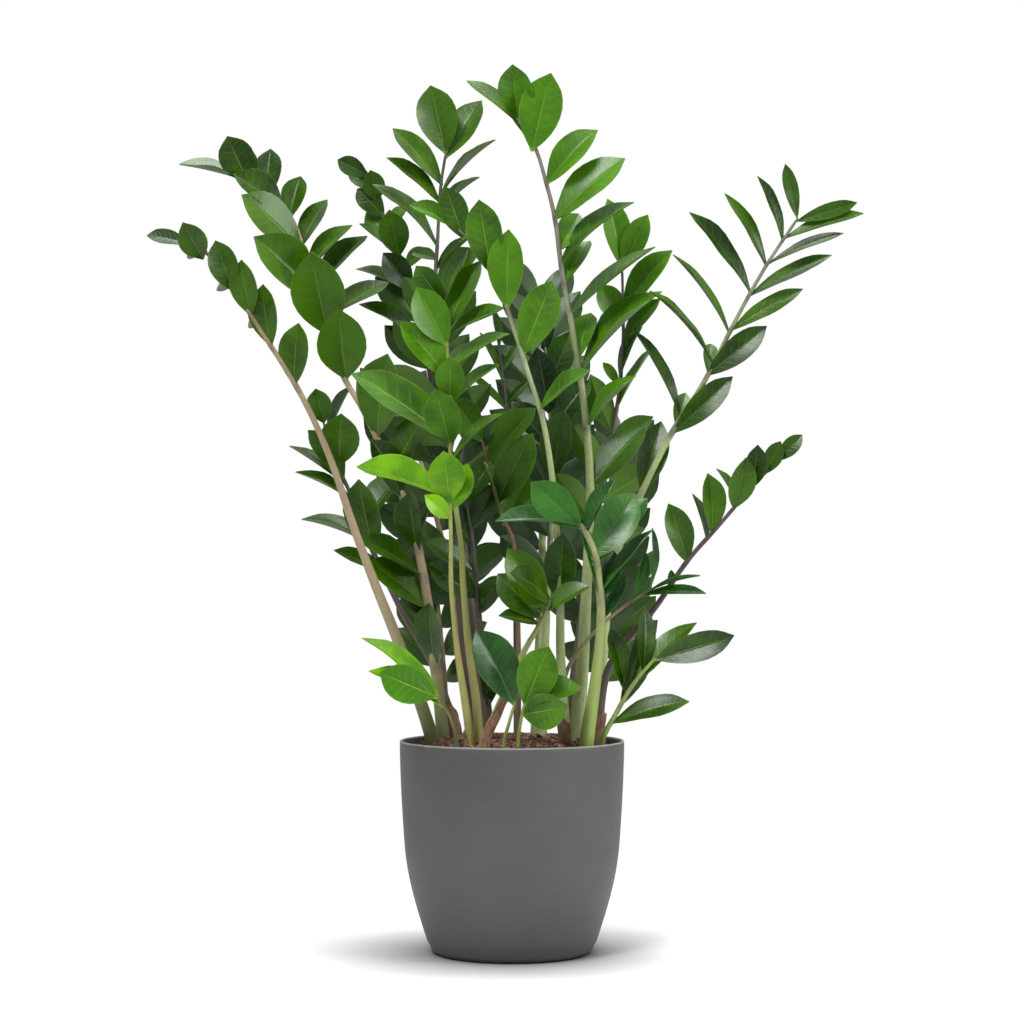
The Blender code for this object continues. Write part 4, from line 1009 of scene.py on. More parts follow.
LEAF_FINISHES: dict[LeafTone, LeafFinish] = {
    LeafTone.LIME: LeafFinish(
        "leaf_lime", 0.42, (0.055, 0.20, 0.001, 1), (0.25, 0.56, 0.002, 1), (0.46, 0.70, 0.06, 1),
        (0.16, 0.36, 0.008, 1), 0.10,
    ),
    LeafTone.BRIGHT: LeafFinish(
        "leaf_bright", 0.34, (0.022, 0.074, 0.001, 1), (0.084, 0.25, 0.001, 1),
        (0.30, 0.50, 0.06, 1), (0.075, 0.17, 0.012, 1), 0.14,
    ),
    LeafTone.GREEN: LeafFinish(
        "leaf_green", 0.32, (0.009, 0.031, 0.001, 1), (0.056, 0.153, 0.001, 1),
        (0.20, 0.36, 0.04, 1), (0.05, 0.11, 0.014, 1), 0.16,
    ),
    LeafTone.DARK: LeafFinish(
        "leaf_dark", 0.27, (0.005, 0.020, 0.002, 1), (0.034, 0.100, 0.004, 1),
        (0.14, 0.26, 0.05, 1), (0.035, 0.075, 0.02, 1), 0.22,
    ),
    LeafTone.TEAL: LeafFinish(
        "leaf_teal", 0.28, (0.008, 0.056, 0.006, 1), (0.042, 0.185, 0.014, 1),
        (0.18, 0.36, 0.12, 1), (0.05, 0.13, 0.04, 1), 0.24,
    ),
}

STALK_FINISHES: dict[StalkTone, StalkFinish] = {
    StalkTone.TAN: StalkFinish(
        "stalk_tan", 0.5, (0.20, 0.24, 0.085, 1), (0.43, 0.34, 0.205, 1),
        (0.17, 0.11, 0.07, 1), 0.34, 0.14,
    ),
    StalkTone.PALE: StalkFinish(
        "stalk_pale", 0.5, (0.45, 0.56, 0.23, 1), (0.25, 0.24, 0.20, 1),
        (0.09, 0.075, 0.07, 1), 0.70, 0.30,
    ),
    StalkTone.YOUNG: StalkFinish(
        "stalk_young", 0.48, (0.42, 0.40, 0.13, 1), (0.36, 0.44, 0.12, 1),
        (0.22, 0.17, 0.05, 1), 0.45, 0.20,
    ),
    StalkTone.STOUT: StalkFinish(
        "stalk_stout", 0.48, (0.30, 0.43, 0.09, 1), (0.42, 0.43, 0.20, 1),
        (0.20, 0.20, 0.09, 1), 0.36, 0.20,
    ),
    StalkTone.DARK: StalkFinish(
        "stalk_dark", 0.5, (0.115, 0.085, 0.055, 1), (0.10, 0.075, 0.08, 1),
        (0.035, 0.025, 0.025, 1), 0.40, 0.3,
    ),
    StalkTone.RED: StalkFinish(
        "stalk_red", 0.5, (0.20, 0.15, 0.07, 1), (0.20, 0.09, 0.065, 1),
        (0.08, 0.035, 0.03, 1), 0.40, 0.3,
    ),
}

STALK_SLOTS: dict[StalkTone, str] = {
    StalkTone.TAN: "stalk_tan",
    StalkTone.PALE: "stalk_green",
    StalkTone.YOUNG: "stalk_green",
    StalkTone.STOUT: "stalk_green",
    StalkTone.DARK: "stalk_dark",
    StalkTone.RED: "stalk_dark",
}

# The body, its darker mottle, the pale colour of the specks and of the lip's painted highlight, and
# the inner wall's painted shade
POT_FINISH = PotFinish(
    "pot_grey", 0.55, (0.094, 0.091, 0.091, 1), (0.063, 0.060, 0.059, 1),
    (0.40, 0.39, 0.38, 1), (0.045, 0.045, 0.048, 1),
)
SOIL_FINISH = BarkFinish("bark_soil", 0.95, (0.035, 0.016, 0.011, 1), (0.15, 0.072, 0.047, 1))
CHIP_FINISH = BarkFinish("bark_chip", 0.9, (0.070, 0.032, 0.022, 1), (0.50, 0.29, 0.205, 1))
SHEATH_FINISH = BarkFinish(
    "dry_sheath", 0.75, (0.115, 0.048, 0.030, 1), (0.46, 0.27, 0.165, 1), (1.0, 1.0, 0.06), 0.0008
)


# How the fronds grow ----------------------------------------


# A row's leaflets: their rise from the stalk in degrees and its gain towards the tip, the lean of
# their faces, and their smallest size, its swell up the stalk and how much neighbours vary
ROW_RISE, ROW_RISE_GAIN, ROW_LEAN = 32, 26, 0.5
ROW_SMALLEST, ROW_SWELL, ROW_VARIETY = 0.78, 0.22, 0.06

# A plain lens: its rings as (share of the length, half breadth), its arch, cup and skin
LENS_RINGS = ((0.34, 0.46), (0.72, 0.40))
LENS_ARCH, LENS_CUP, LENS_SKIN = 0.07, 0.2, 0.07


def lengths_along(points: list[Vector]) -> list[float]:
    """How far along the line each of its points is.

    Args:
        points: the line's points.

    Returns:
        The lengths, from 0 at the first point.
    """
    lengths = [0.0]
    for start, end in zip(points, points[1:]):
        lengths.append(lengths[-1] + (end - start).length)
    return lengths


def point_along(points: list[Vector], lengths: list[float], length: float) -> tuple[Vector, Vector]:
    """Find a place on a line.

    Args:
        points: the line's points.
        lengths: how far along each of them is.
        length: how far along to go.

    Returns:
        The point there and the line's direction.
    """
    length = min(max(length, 0.0), lengths[-1])
    i = next(i for i, far in enumerate(lengths[1:]) if length <= far or far == lengths[-1])
    run = points[i + 1] - points[i]
    return points[i] + run * ((length - lengths[i]) / run.length), run.normalized()


def catmull_rom(a: Vector, b: Vector, c: Vector, d: Vector, t: float) -> Vector:
    """A point of the smooth curve from b to c, at a share t of it."""
    return 0.5 * (
        2 * b + (c - a) * t + (2 * a - 5 * b + 4 * c - d) * t**2 + (3 * b - a - 3 * c + d) * t**3
    )


@dataclass(frozen=True)
class Blade:
    """A leaflet from its stalk to its tip, in cm; the normal points out of its upper side."""

    start: Vector
    reach: Vector
    normal: Vector
    breadth: float

    def turned(self, axis: Vector, degrees: float, size: float) -> Blade:
        """The blade turned about an axis through its start and resized."""
        spin = Matrix.Rotation(math.radians(degrees), 3, axis)
        return Blade(self.start, spin @ self.reach * size, spin @ self.normal, self.breadth * size)

    def trimmed(self, share: float = 0.22) -> Blade:
        """The blade without the end that grows out of its own stalk."""
        start, reach = self.start + self.reach * share, self.reach * (1 - share)
        return Blade(start, reach, self.normal, self.breadth)


class StalkLine:
    """The line of a frond's stalk: a smooth one to show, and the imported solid's faceted one."""

    STEPS = 8
    RING_SPACING = 8.0
    RING_SIDES = 6
    FEWEST_RINGS = 4
    TAPER = 0.55

    def __init__(self, plan: FrondPlan) -> None:
        """Lay the line through the plan's route.

        Args:
            plan: the frond's plan.
        """
        self.plan = plan
        route = [Vector(point) for point in plan.route]
        ends = [2 * route[0] - route[1]] + route + [2 * route[-1] - route[-2]]
        self.fine = [route[0]]
        for a, b, c, d in zip(ends, ends[1:], ends[2:], ends[3:]):
            self.fine += [catmull_rom(a, b, c, d, (i + 1) / self.STEPS) for i in range(self.STEPS)]
        self.fine_lengths = lengths_along(self.fine)
        count = max(self.FEWEST_RINGS, round(self.fine_lengths[-1] / self.RING_SPACING))
        spaced = [self.fine_lengths[-1] * i / count for i in range(count + 1)]
        self.points = [point_along(self.fine, self.fine_lengths, length)[0] for length in spaced]
        self.lengths = lengths_along(self.points)

    def at(self, length: float) -> tuple[Vector, Vector]:
        """The point and direction this far along the faceted line."""
        return point_along(self.points, self.lengths, length)

    def length_at_height(self, height: float, fine: bool = False) -> float:
        """How far along a line first reaches a height.

        Args:
            height: the height in cm.
            fine: whether to measure the smooth line and not the faceted one.

        Returns:
            The length, or just short of the tip if the line stays lower.
        """
        points, lengths = (self.fine, self.fine_lengths) if fine else (self.points, self.lengths)
        for i, (start, end) in enumerate(zip(points, points[1:])):
            if start.z <= height <= end.z:
                share = (height - start.z) / max(end.z - start.z, 0.001)
                return lengths[i] + (end - start).length * share
        return lengths[-1] * 0.995

    def radius_at_share(self, share: float) -> float:
        """The stalk's radius at a share of its length: a fleshy foot that thins to the tip."""
        foot, tip = self.plan.foot, self.plan.tip
        even, late = self.TAPER * (1 - share), (1 - self.TAPER) * (1 - share) ** 3
        return tip + (foot - tip) * (even + late)

    def solid(self, shape: Shape, margin: float) -> None:
        """Add the faceted tube, thicker by a margin, to a shape.

        Args:
            shape: the shape to add to.
            margin: the margin in cm.
        """
        side = Vector((1, 0, 0))
        rings = []
        for length in self.lengths:
            centre, along = self.at(length)
            side = (side - along * side.dot(along)).normalized()
            other = along.cross(side)
            radius = self.radius_at_share(length / self.lengths[-1]) + margin
            ring = []
            for k in range(self.RING_SIDES):
                turn = math.tau * k / self.RING_SIDES
                out = side * math.cos(turn) + other * math.sin(turn)
                ring.append(shape.verts.new(centre + out * radius))
            rings.append(ring)
        bridge(shape, rings)
        shape.faces.new(list(reversed(rings[0])))
        shape.faces.new(rings[-1])


def bridge(shape: Shape, rings: list[list[bmesh.types.BMVert]]) -> None:
    """Join each ring of vertices to the next with faces.

    Args:
        shape: the shape that they belong to.
        rings: the rings, in order.
    """
    for low, high in zip(rings, rings[1:]):
        for k in range(len(low)):
            j = (k + 1) % len(low)
            shape.faces.new((low[k], low[j], high[j], high[k]))


def tree_of(build: Callable[[Shape], None]) -> BVHTree:
    """The search tree of a shape that the call builds.

    Args:
        build: adds to an empty shape.

    Returns:
        The tree of the shape, whose faces point outwards.
    """
    shape = bmesh.new()
    build(shape)
    bmesh.ops.recalc_face_normals(shape, faces=shape.faces)
    tree = BVHTree.FromBMesh(shape)
    shape.free()
    return tree


def lens(shape: Shape, blade: Blade, thicker: float = 0.0) -> None:
    """Add a blade's plain closed lens, thicker by a margin, to a shape.

    Args:
        shape: the shape to add to.
        blade: the leaflet.
        thicker: the margin in cm.
    """
    axis = blade.reach.normalized()
    across = axis.cross(blade.normal)
    rings = []
    for share, half in LENS_RINGS:
        arch = blade.normal * blade.reach.length * LENS_ARCH * 4 * share * (1 - share)
        centre = blade.start + blade.reach * share + arch
        reach = across * blade.breadth * half
        lift = blade.normal * blade.breadth * half * LENS_CUP
        skin = blade.normal * (LENS_SKIN + thicker)
        rim = across * thicker
        rights = (centre + reach + lift + rim, centre + skin)
        lefts = (centre - reach + lift - rim, centre - skin)
        rings.append([shape.verts.new(corner) for corner in rights + lefts])
    bridge(shape, rings)
    for ring, end in ((rings[0], blade.start), (rings[-1], blade.start + blade.reach)):
        tip = shape.verts.new(end)
        for k in range(4):
            shape.faces.new((ring[k], ring[(k + 1) % 4], tip))


class Canopy:
    """Where the stalks and the leaflets grown so far are, so that a new leaflet finds room."""

    TURNS = (0, 8, -8, 16, -16, 25, -25, 35, -35, 46, -46, 58, -58, 72, -72, 88, -88, 106, -106)
    SIZES = (1.0, 0.85, 0.7, 0.55, 0.4, 0.28)
    STALK_ROOM = 0.12
    BLADE_ROOM = 0.16

    def __init__(self, lines: dict[str, StalkLine]) -> None:
        """Stand the stalks, which every leaflet keeps clear of.

        Args:
            lines: each frond's stalk by name.
        """
        self.lines = lines
        self.stalks = {
            name: tree_of(lambda shape, line=line: line.solid(shape, self.STALK_ROOM))
            for name, line in lines.items()
        }
        self.grown: list[tuple[str, Vector, float, BVHTree, BVHTree]] = []

    def fits(self, name: str, blade: Blade) -> bool:
        """Whether a frond's blade meets no other frond and no other leaflet of its own.

        Args:
            name: the frond.
            blade: the leaflet to try.

        Returns:
            True where it meets none.
        """
        whole = tree_of(lambda shape: lens(shape, blade, self.BLADE_ROOM))
        for other, tree in self.stalks.items():
            if other != name and whole.overlap(tree):
                return False
        end = tree_of(lambda shape: lens(shape, blade.trimmed(), self.BLADE_ROOM))
        middle = blade.start + blade.reach / 2
        for other, centre, span, tree, end_tree in self.grown:
            if (centre - middle).length > span + blade.reach.length:
                continue
            if end.overlap(end_tree) if other == name else whole.overlap(tree):
                return False
        return True

    def grow(self, name: str, blade: Blade) -> Blade:
        """Let a leaflet find room: it turns about its stalk, or stays smaller.

        Args:
            name: the frond that it grows on.
            blade: the leaflet as planned.

        Returns:
            The leaflet as grown.
        """
        line = self.lines[name]
        along = line.at(line.length_at_height(blade.start.z))[1]
        tries = (blade.turned(along, turn, size) for size in self.SIZES for turn in self.TURNS)
        found = blade
        for found in tries:
            if self.fits(name, found):
                break
        self.grown.append(
            (
                name,
                found.start + found.reach / 2,
                found.reach.length / 2,
                tree_of(lambda shape: lens(shape, found)),
                tree_of(lambda shape: lens(shape, found.trimmed())),
            )
        )
        return found


def chosen_blade(
    line: StalkLine, height: float, right: float, back: float, up: float, seen: float
) -> Blade:
    """A leaflet of the table, rolled about its own length until it looks this broad in front.

    Args:
        line: the stalk that it grows on.
        height: the height where it leaves the stalk.
        right: its reach to the right.
        back: its reach to the back.
        up: its reach upwards.
        seen: its breadth from the front, negative to show its underside.

    Returns:
        The leaflet.
    """
    start, along = line.at(line.length_at_height(height))
    reach = Vector((right, back, up))
    axis = reach.normalized()
    breadth = max(abs(seen), line.plan.slimness * reach.length)
    front = Vector((0, -1, 0))
    front = (front - axis * front.dot(axis)).normalized()
    upper = axis.cross(front)
    if upper.dot(along) < 0:
        upper = -upper
    roll = math.acos(min(1.0, abs(seen) / breadth))
    if seen < 0:
        roll = math.pi - roll
    return Blade(start, reach, front * math.cos(roll) + upper * math.sin(roll), breadth)


def row_blades(
    line: StalkLine, low: float, high: float, pairs: int, length: float, breadth: float,
    heading: float,
) -> list[Blade]:
    """Pairs of leaflets up a stalk, each rising towards the tip and smaller near it.

    Args:
        line: the stalk that they grow on.
        low: the lowest leaflet's height.
        high: the highest leaflet's height.
        pairs: how many pairs there are.
        length: a leaflet's length.
        breadth: a leaflet's breadth.
        heading: which way the right-hand leaflets point, in degrees from +X.

    Returns:
        The leaflets, in order up the stalk.
    """
    outward = Vector((math.cos(math.radians(heading)), math.sin(math.radians(heading)), 0))
    found = []
    for i in range(2 * pairs):
        share = i / (2 * pairs - 1)
        start, along = line.at(line.length_at_height(low + (high - low) * share))
        side = (outward - along * outward.dot(along)).normalized()
        if i % 2:
            side = -side
        rise = math.radians(ROW_RISE + ROW_RISE_GAIN * share)
        axis = side * math.cos(rise) + along * math.sin(rise)
        face = along.cross(outward) + along * ROW_LEAN
        face = (face - axis * face.dot(axis)).normalized()
        size = ROW_SMALLEST + ROW_SWELL * math.sin(math.pi * (0.25 + 0.6 * share))
        size += ROW_VARIETY * (i % 3 - 1)
        found.append(Blade(start, axis * length * size, face, breadth * size))
    return found


def grown_blades(lines: dict[str, StalkLine]) -> dict[str, list[Blade]]:
    """Grow every frond's leaflets: the chosen ones first, then the rows among them.

    Args:
        lines: each frond's stalk by name.

    Returns:
        Each frond's leaflets by name.
    """
    canopy = Canopy(lines)
    blades: dict[str, list[Blade]] = {name: [] for name in lines}
    for name, line in lines.items():
        for row in line.plan.leaflets:
            blades[name].append(canopy.grow(name, chosen_blade(line, *row)))
    for name, line in lines.items():
        for row in line.plan.rows:
            for blade in row_blades(line, *row):
                blades[name].append(canopy.grow(name, blade))
    return blades


# Fronds ----------------------------------------


@dataclass
class LeafTemplate:
    """The one flat leaflet that every leaflet is a bent copy of.

    It lies along +Y from 0 to 1, one unit broad at its broadest. Its outline is a power curve
    that starts at a short stalk, and its last stretch runs straight into a point.
    """

    columns: int = 6
    rows: int = 12
    rise: float = 1.0
    fall: float = 0.76
    point: float = 2.3
    stalk_half: float = 0.030
    stalk_end: float = 0.15
    rib_column: float = 0.07
    skin: float = 0.02
    crowding: float = 0.07

    def eased(self, share: float) -> float:
        """Where a cross line at a share of the length moves to, so that the ends have more."""
        return share - self.crowding * math.sin(math.tau * share)

    def half(self, share: float) -> float:
        """Half the outline's breadth at a share of its length.

        Args:
            share: 0 at the stalk, 1 at the tip.

        Returns:
            The half breadth, where the whole blade is one unit broad.
        """
        peak = self.rise / (self.rise + self.fall)
        top = peak**self.rise * (1 - peak) ** self.fall
        body = share**self.rise * (1 - share) ** self.fall / top / 2
        body = min(body, self.point * (1 - share))
        stalk = self.stalk_half * (1 - share) if share < self.stalk_end else 0.0
        return max(body, stalk, 0.004)

    def build(self) -> Piece:
        """Model the template.

        Returns:
            The template, a closed thin solid that is hidden and never shown.
        """
        deselect_all()
        bpy.ops.mesh.primitive_grid_add(
            x_subdivisions=self.columns, y_subdivisions=self.rows, size=1, location=(0, 0.5, 0)
        )
        leaf = bpy.context.object
        leaf.name = "leaflet_template"
        apply_place(leaf)
        bpy.ops.object.mode_set(mode="EDIT")
        inner = 1 / self.columns
        select_where(leaf, lambda co: 0.4 * inner < abs(co.x) < 1.4 * inner)
        bpy.ops.transform.resize(value=(self.rib_column / inner, 1, 1), center_override=(0, 0.5, 0))
        for j in range(self.rows + 1):
            share = j / self.rows
            breadth = 2 * self.half(self.eased(share))
            select_where(leaf, lambda co, share=share: abs(co.y - share) < 0.2 / self.rows)
            bpy.ops.transform.resize(value=(breadth, 1, 1), center_override=(0, share, 0))
        bpy.ops.object.mode_set(mode="OBJECT")
        for vert in leaf.data.vertices:
            vert.co.y = self.eased(vert.co.y)
        apply_modifier(leaf, "SOLIDIFY", thickness=self.skin, offset=0.0, use_even_offset=False)
        shade(leaf, 60)
        heights = np.array([vert.co.z for vert in leaf.data.vertices])
        store(leaf.data, "under", (heights < 0).astype(np.float32))
        return leaf


@dataclass
class Frond:
    """One frond: a smooth stalk and its leaflets. Folds, arches and ripples are shares of size."""

    plan: FrondPlan
    line: StalkLine
    blades: list[Blade]
    chance: random.Random
    roundness: int = 3
    ring_spacing: float = 1.0
    swelling: float = 0.10
    swelling_reach: float = 0.8
    mark_reach: float = 0.6
    blunt_tip: float = 0.55
    thickness: float = 0.10
    folds: tuple[float, float] = (0.11, 0.27)
    arches: tuple[float, float] = (0.015, 0.06)
    twists: tuple[float, float] = (-14, 14)
    ripples: tuple[float, float] = (0.0, 0.016)
    groove: tuple[float, float] = (0.05, 0.10)
    full_size: float = 9.0

    def nearness(self, height: float, reach: float) -> float:
        """How near a height is to where a leaflet leaves the stalk: 1 there, 0 past the reach."""
        starts = (abs(height - round(blade.start.z, 2)) for blade in self.blades)
        return max(0.0, 1 - min(starts, default=EVERYWHERE) / reach)

    def stalk(self) -> Piece:
        """Model the stalk as a round curve, thicker at each leaflet, and make it a mesh.

        Returns:
            The stalk, with an attribute for the marks where leaflets leave it.
        """
        line = self.line
        total = line.fine_lengths[-1]
        count = max(12, round(total / self.ring_spacing))
        spots = []
        for i in range(count + 1):
            centre, _ = point_along(line.fine, line.fine_lengths, total * i / count)
            swell = 1 + self.swelling * self.nearness(centre.z, self.swelling_reach)
            tip = 1.0 if i < count else self.blunt_tip
            spots.append((centre * CM, line.radius_at_share(i / count) * swell * tip))
        piece = tube(self.plan.name + "_stalk", spots, CM, self.roundness)
        apply_modifier(piece, "WELD", merge_threshold=0.00001)
        heights = [vert.co.z / CM for vert in piece.data.vertices]
        marks = [self.nearness(height, self.mark_reach) for height in heights]
        store(piece.data, "node", np.array(marks))
        shade(piece, 60)
        return piece

    def bent_copy(
        self, template: Piece, flat: np.ndarray, blade: Blade
    ) -> Piece:
        """Copy the template and bend it into one leaflet.

        Args:
            template: the flat leaflet.
            flat: its vertices, one row each.
            blade: where the leaflet grows and how it faces.

        Returns:
            The leaflet, with its own mesh and its own tone.
        """
        chance = self.chance
        length = blade.reach.length
        fold = chance.uniform(*self.folds)
        arch = chance.uniform(*self.arches)
        twist = math.radians(chance.uniform(*self.twists))
        ripple = chance.uniform(*self.ripples) * length
        phase = chance.uniform(0, math.tau)
        size = min(1.0, 0.35 + length / self.full_size)
        axis = np.array(blade.reach.normalized())
        normal = np.array(blade.normal)
        across = np.cross(axis, normal)
        side, along, skin = flat[:, 0], flat[:, 1], np.sign(flat[:, 2])
        turn = twist * (along - 0.4)
        lateral = side * blade.breadth
        rib = np.abs(side) / 0.5
        depth, breadth = self.groove
        lift = np.abs(lateral) * 2 * fold * (0.55 + 0.45 * rib)
        lift += ripple * rib**2 * np.sin(math.tau * 1.6 * along + phase)
        lift -= depth * size * np.exp(-((np.abs(lateral) / breadth) ** 2))
        thick = self.thickness * size * (0.30 + 0.28 * (1 - rib) + 0.55 * np.exp(-along / 0.05))
        lift += skin * thick
        droop = arch * length * (4 * along * (1 - along))
        place = np.array(blade.start) + np.outer(along * length, axis)
        place += np.outer(droop, normal)
        place += np.outer(lateral * np.cos(turn) - lift * np.sin(turn), across)
        place += np.outer(lateral * np.sin(turn) + lift * np.cos(turn), normal)
        mesh = template.data.copy()
        mesh.vertices.foreach_set("co", (place * CM).astype(np.float32).ravel())
        store(mesh, "tone", min(1.0, max(0.0, chance.gauss(0.5, 0.22))))
        return put_out("leaflet", mesh)

    def leaflets(self, template: Piece) -> Piece:
        """Model every leaflet and join them.

        Args:
            template: the flat leaflet.

        Returns:
            The frond's leaflets as one piece.
        """
        flat = np.empty(len(template.data.vertices) * 3, np.float32)
        template.data.vertices.foreach_get("co", flat)
        flat = flat.reshape(-1, 3)
        leaves = [self.bent_copy(template, flat, blade) for blade in self.blades]
        return join(leaves, self.plan.name + "_leaflets")

    def make(
        self,
        template: Piece,
        leaf: Material,
        stalk: Material,
    ) -> None:
        """Model and dress the frond.

        Args:
            template: the flat leaflet.
            leaf: the leaflets' material.
            stalk: the stalk's material.
        """
        name = self.plan.name
        dress(self.leaflets(template), leaf, self.plan.leaf.value, name)
        dress(self.stalk(), stalk, STALK_SLOTS[self.plan.stalk], name)


# Pot and soil ----------------------------------------


@dataclass
class Pot:
    """The round tapered pot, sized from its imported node, in cm."""

    rim: float
    height: float
    belly: float = 11.7
    foot: float = 8.8
    foot_round: float = 0.8
    wall: float = 0.3
    floor: float = 0.5
    lip: float = 0.09
    sides: int = 128

    def radius(self, height: float) -> float:
        """The outer radius at a height.

        Args:
            height: the height in cm.

        Returns:
            The radius in cm.
        """
        share = height / self.height
        if share < 0.5:
            return self.foot + (self.belly - self.foot) * (
                0.7 * share + 0.65 * math.sin(share * math.pi)
            )
        return self.belly + (self.rim - self.belly) * (1 - (2 - 2 * share) ** 1.6)

    def build(self) -> Piece:
        """Model the pot as one closed wall.

        Returns:
            The pot.
        """
        profile = [(self.foot - self.foot_round, 0.0)]
        for i in range(1, 6):
            turn = i / 5 * math.pi / 2
            radius = self.foot - self.foot_round * (1 - math.sin(turn)) + 0.14 * i / 5
            profile.append((radius, self.foot_round * (1 - math.cos(turn))))
        heights = [self.height * (0.055 + 0.945 * i / 26) for i in range(26)]
        profile += [(self.radius(height), height) for height in heights]
        inner = self.rim - self.wall
        rounding = ((0.0, 1.0), (0.35, 0.3), (1.0, 0.0))
        for side, far in ((-1, self.rim), (1, inner)):
            edge = [(far + side * self.lip * a, self.height - self.lip * b) for a, b in rounding]
            profile += edge if side < 0 else reversed(edge)
        inside = [height for height in reversed(heights[1:]) if height > 1.5]
        profile += [(self.radius(height) - self.wall, height) for height in inside]
        profile += [(self.radius(self.floor) - self.wall - 0.5, self.floor)]
        pot = raised_rings("pot_wall", profile, self.sides)
        shade(pot, 50)
        return pot


@dataclass
class BarkSoil:
    """The mound of bark soil: its body, the chips and crumbs on it, and threads of coir."""

    pot: Pot
    feet: list[tuple[float, float, float]]
    chance: random.Random
    below_rim: float = 2.6
    mound: float = 2.9
    shoulder: float = 2.4
    crown: float = 0.32
    lumps: float = 0.16
    gap: float = 0.03
    chips: int = 430
    crumbs: int = 620
    threads: int = 70
    thread_bends: int = 5
    thread_radius: float = 0.028

    def edge(self) -> float:
        """The soil's radius where it meets the wall."""
        return self.pot.radius(self.pot.height - self.below_rim) - self.pot.wall - self.gap

    def top(self, radius: float) -> float:
        """The mound's height at a radius.

        Args:
            radius: the distance from the axis in cm.

        Returns:
            The height in cm.
        """
        edge = self.edge()
        inset = min(1.0, max(0.0, (edge - radius) / self.shoulder))
        crown = 1 - min(1.0, radius / edge) ** 2
        rise = (1 - self.crown) * math.sin(inset * math.pi / 2) + self.crown * crown
        return self.pot.height - self.below_rim + self.mound * rise

    def body(self) -> Piece:
        """Model the soil's body: turned rings whose top is pushed into lumps.

        Returns:
            The soil's body.
        """
        edge = self.edge()
        start = self.pot.floor + 2 * self.gap
        profile = [(self.pot.radius(start) - self.pot.wall - 0.6, start)]
        for share in (0.05, 0.25, 0.5, 0.75, 0.97):
            height = start + (self.pot.height - self.below_rim - start) * share
            profile.append((self.pot.radius(height) - self.pot.wall - 0.05, height))
        radii = [edge * (1 - i / 26) for i in range(26)] + [0.12]
        profile += [(radius, self.top(radius)) for radius in radii]
        soil = raised_rings("soil_body", profile, 88)
        base = self.pot.height - self.below_rim - 0.2
        for vert in soil.data.vertices:
            if vert.co.z > base * CM:
                lump = noise.fractal(vert.co * 130, 0.8, 2.1, 4)
                vert.co.z += lump * self.lumps * CM
        store(soil.data, "tone", 0.35)
        shade(soil, 80)
        return soil

    def spot(self) -> Optional[tuple[float, float]]:
        """Pick a random place on the mound.

        Returns:
            The place in cm, or None where a stalk stands.
        """
        radius = (self.edge() - 0.5) * math.sqrt(self.chance.random())
        turn = self.chance.uniform(0, math.tau)
        x, y = radius * math.cos(turn), radius * math.sin(turn)
        if any(math.hypot(x - a, y - b) < r + 0.15 for a, b, r in self.feet):
            return None
        return x, y

    def chip_template(self, seed: int, size: Point) -> Piece:
        """Model one bark chip: a block, subdivided, flattened and broken along its edges.

        Args:
            seed: which chip.
            size: its length, breadth and thickness in cm.

        Returns:
            The chip, at the origin.
        """
        deselect_all()
        bpy.ops.mesh.primitive_cube_add(size=1)
        chip = bpy.context.object
        chip.name = f"chip_template_{seed}"
        bpy.ops.object.mode_set(mode="EDIT")
        bpy.ops.mesh.select_all(action="SELECT")
        bpy.ops.mesh.subdivide(number_cuts=1)
        select_where(chip, lambda co: co.x > 0.3)
        bpy.ops.transform.resize(value=(1, 0.55, 0.6), center_override=(0.5, 0, 0))
        select_where(chip, lambda co: co.x < -0.3)
        bpy.ops.transform.resize(value=(1, 0.75, 0.8), center_override=(-0.5, 0.1, 0))
        bpy.ops.object.mode_set(mode="OBJECT")
        for vert in chip.data.vertices:
            offset = noise.noise_vector(vert.co * 2.3 + Vector((seed * 7.1, 0, 0)))
            vert.co = (vert.co + 0.28 * offset) * Vector(size) * CM
        shade(chip, 28)
        return chip

    def scattered(
        self, name: str, templates: list[Piece], count: int, sizes: tuple[float, float],
        sink: float, tilt: float,
    ) -> Piece:
        """Scatter copies of the templates over the mound.

        Args:
            name: the piece's name.
            templates: what is copied.
            count: how many copies to try.
            sizes: the smallest and largest scale.
            sink: how deep each lies in the soil, in cm.
            tilt: how far each may tip, in degrees.

        Returns:
            The copies as one piece.
        """
        made = []
        for i in range(count):
            spot = self.spot()
            size = self.chance.uniform(*sizes)
            turns = [math.radians(self.chance.uniform(-tilt, tilt)) for _ in range(2)]
            heading = self.chance.uniform(0, math.tau)
            tone = self.chance.random()
            if spot is None:
                continue
            height = self.top(math.hypot(*spot)) - sink * size
            place = Matrix.Translation(Vector((*spot, height)) * CM)
            turn = Matrix.Rotation(heading, 4, "Z") @ Matrix.Rotation(turns[0], 4, "X")
            turn = turn @ Matrix.Rotation(turns[1], 4, "Y")
            source = templates[i % len(templates)]
            mesh = source.data.copy()
            mesh.transform(place @ turn @ Matrix.Scale(size, 4))
            store(mesh, "tone", tone)
            made.append(put_out(source.name, mesh))
        return join(made, name)

    def coir(self) -> Piece:
        """Lay curled threads of coir over the mound.

        Returns:
            The threads as one piece.
        """
        made = []
        for _ in range(self.threads):
            spot = self.spot() or (2.0, -7.0)
            heading = self.chance.uniform(0, math.tau)
            bend = self.chance.uniform(-0.9, 0.9)
            span = self.chance.uniform(0.25, 0.5)
            x, y = spot
            spots = []
            for i in range(self.thread_bends + 1):
                hump = 0.12 + 0.22 * math.sin(i / self.thread_bends * math.pi)
                height = self.top(min(math.hypot(x, y), self.edge())) + hump
                spots.append((Vector((x, y, height)) * CM, 1.0))
                heading += bend * 0.6
                x += span * math.cos(heading)
                y += span * math.sin(heading)
            thread = tube("thread", spots, self.thread_radius * CM, 0)
            store(thread.data, "tone", self.chance.random())
            made.append(thread)
        return join(made, "coir_threads")

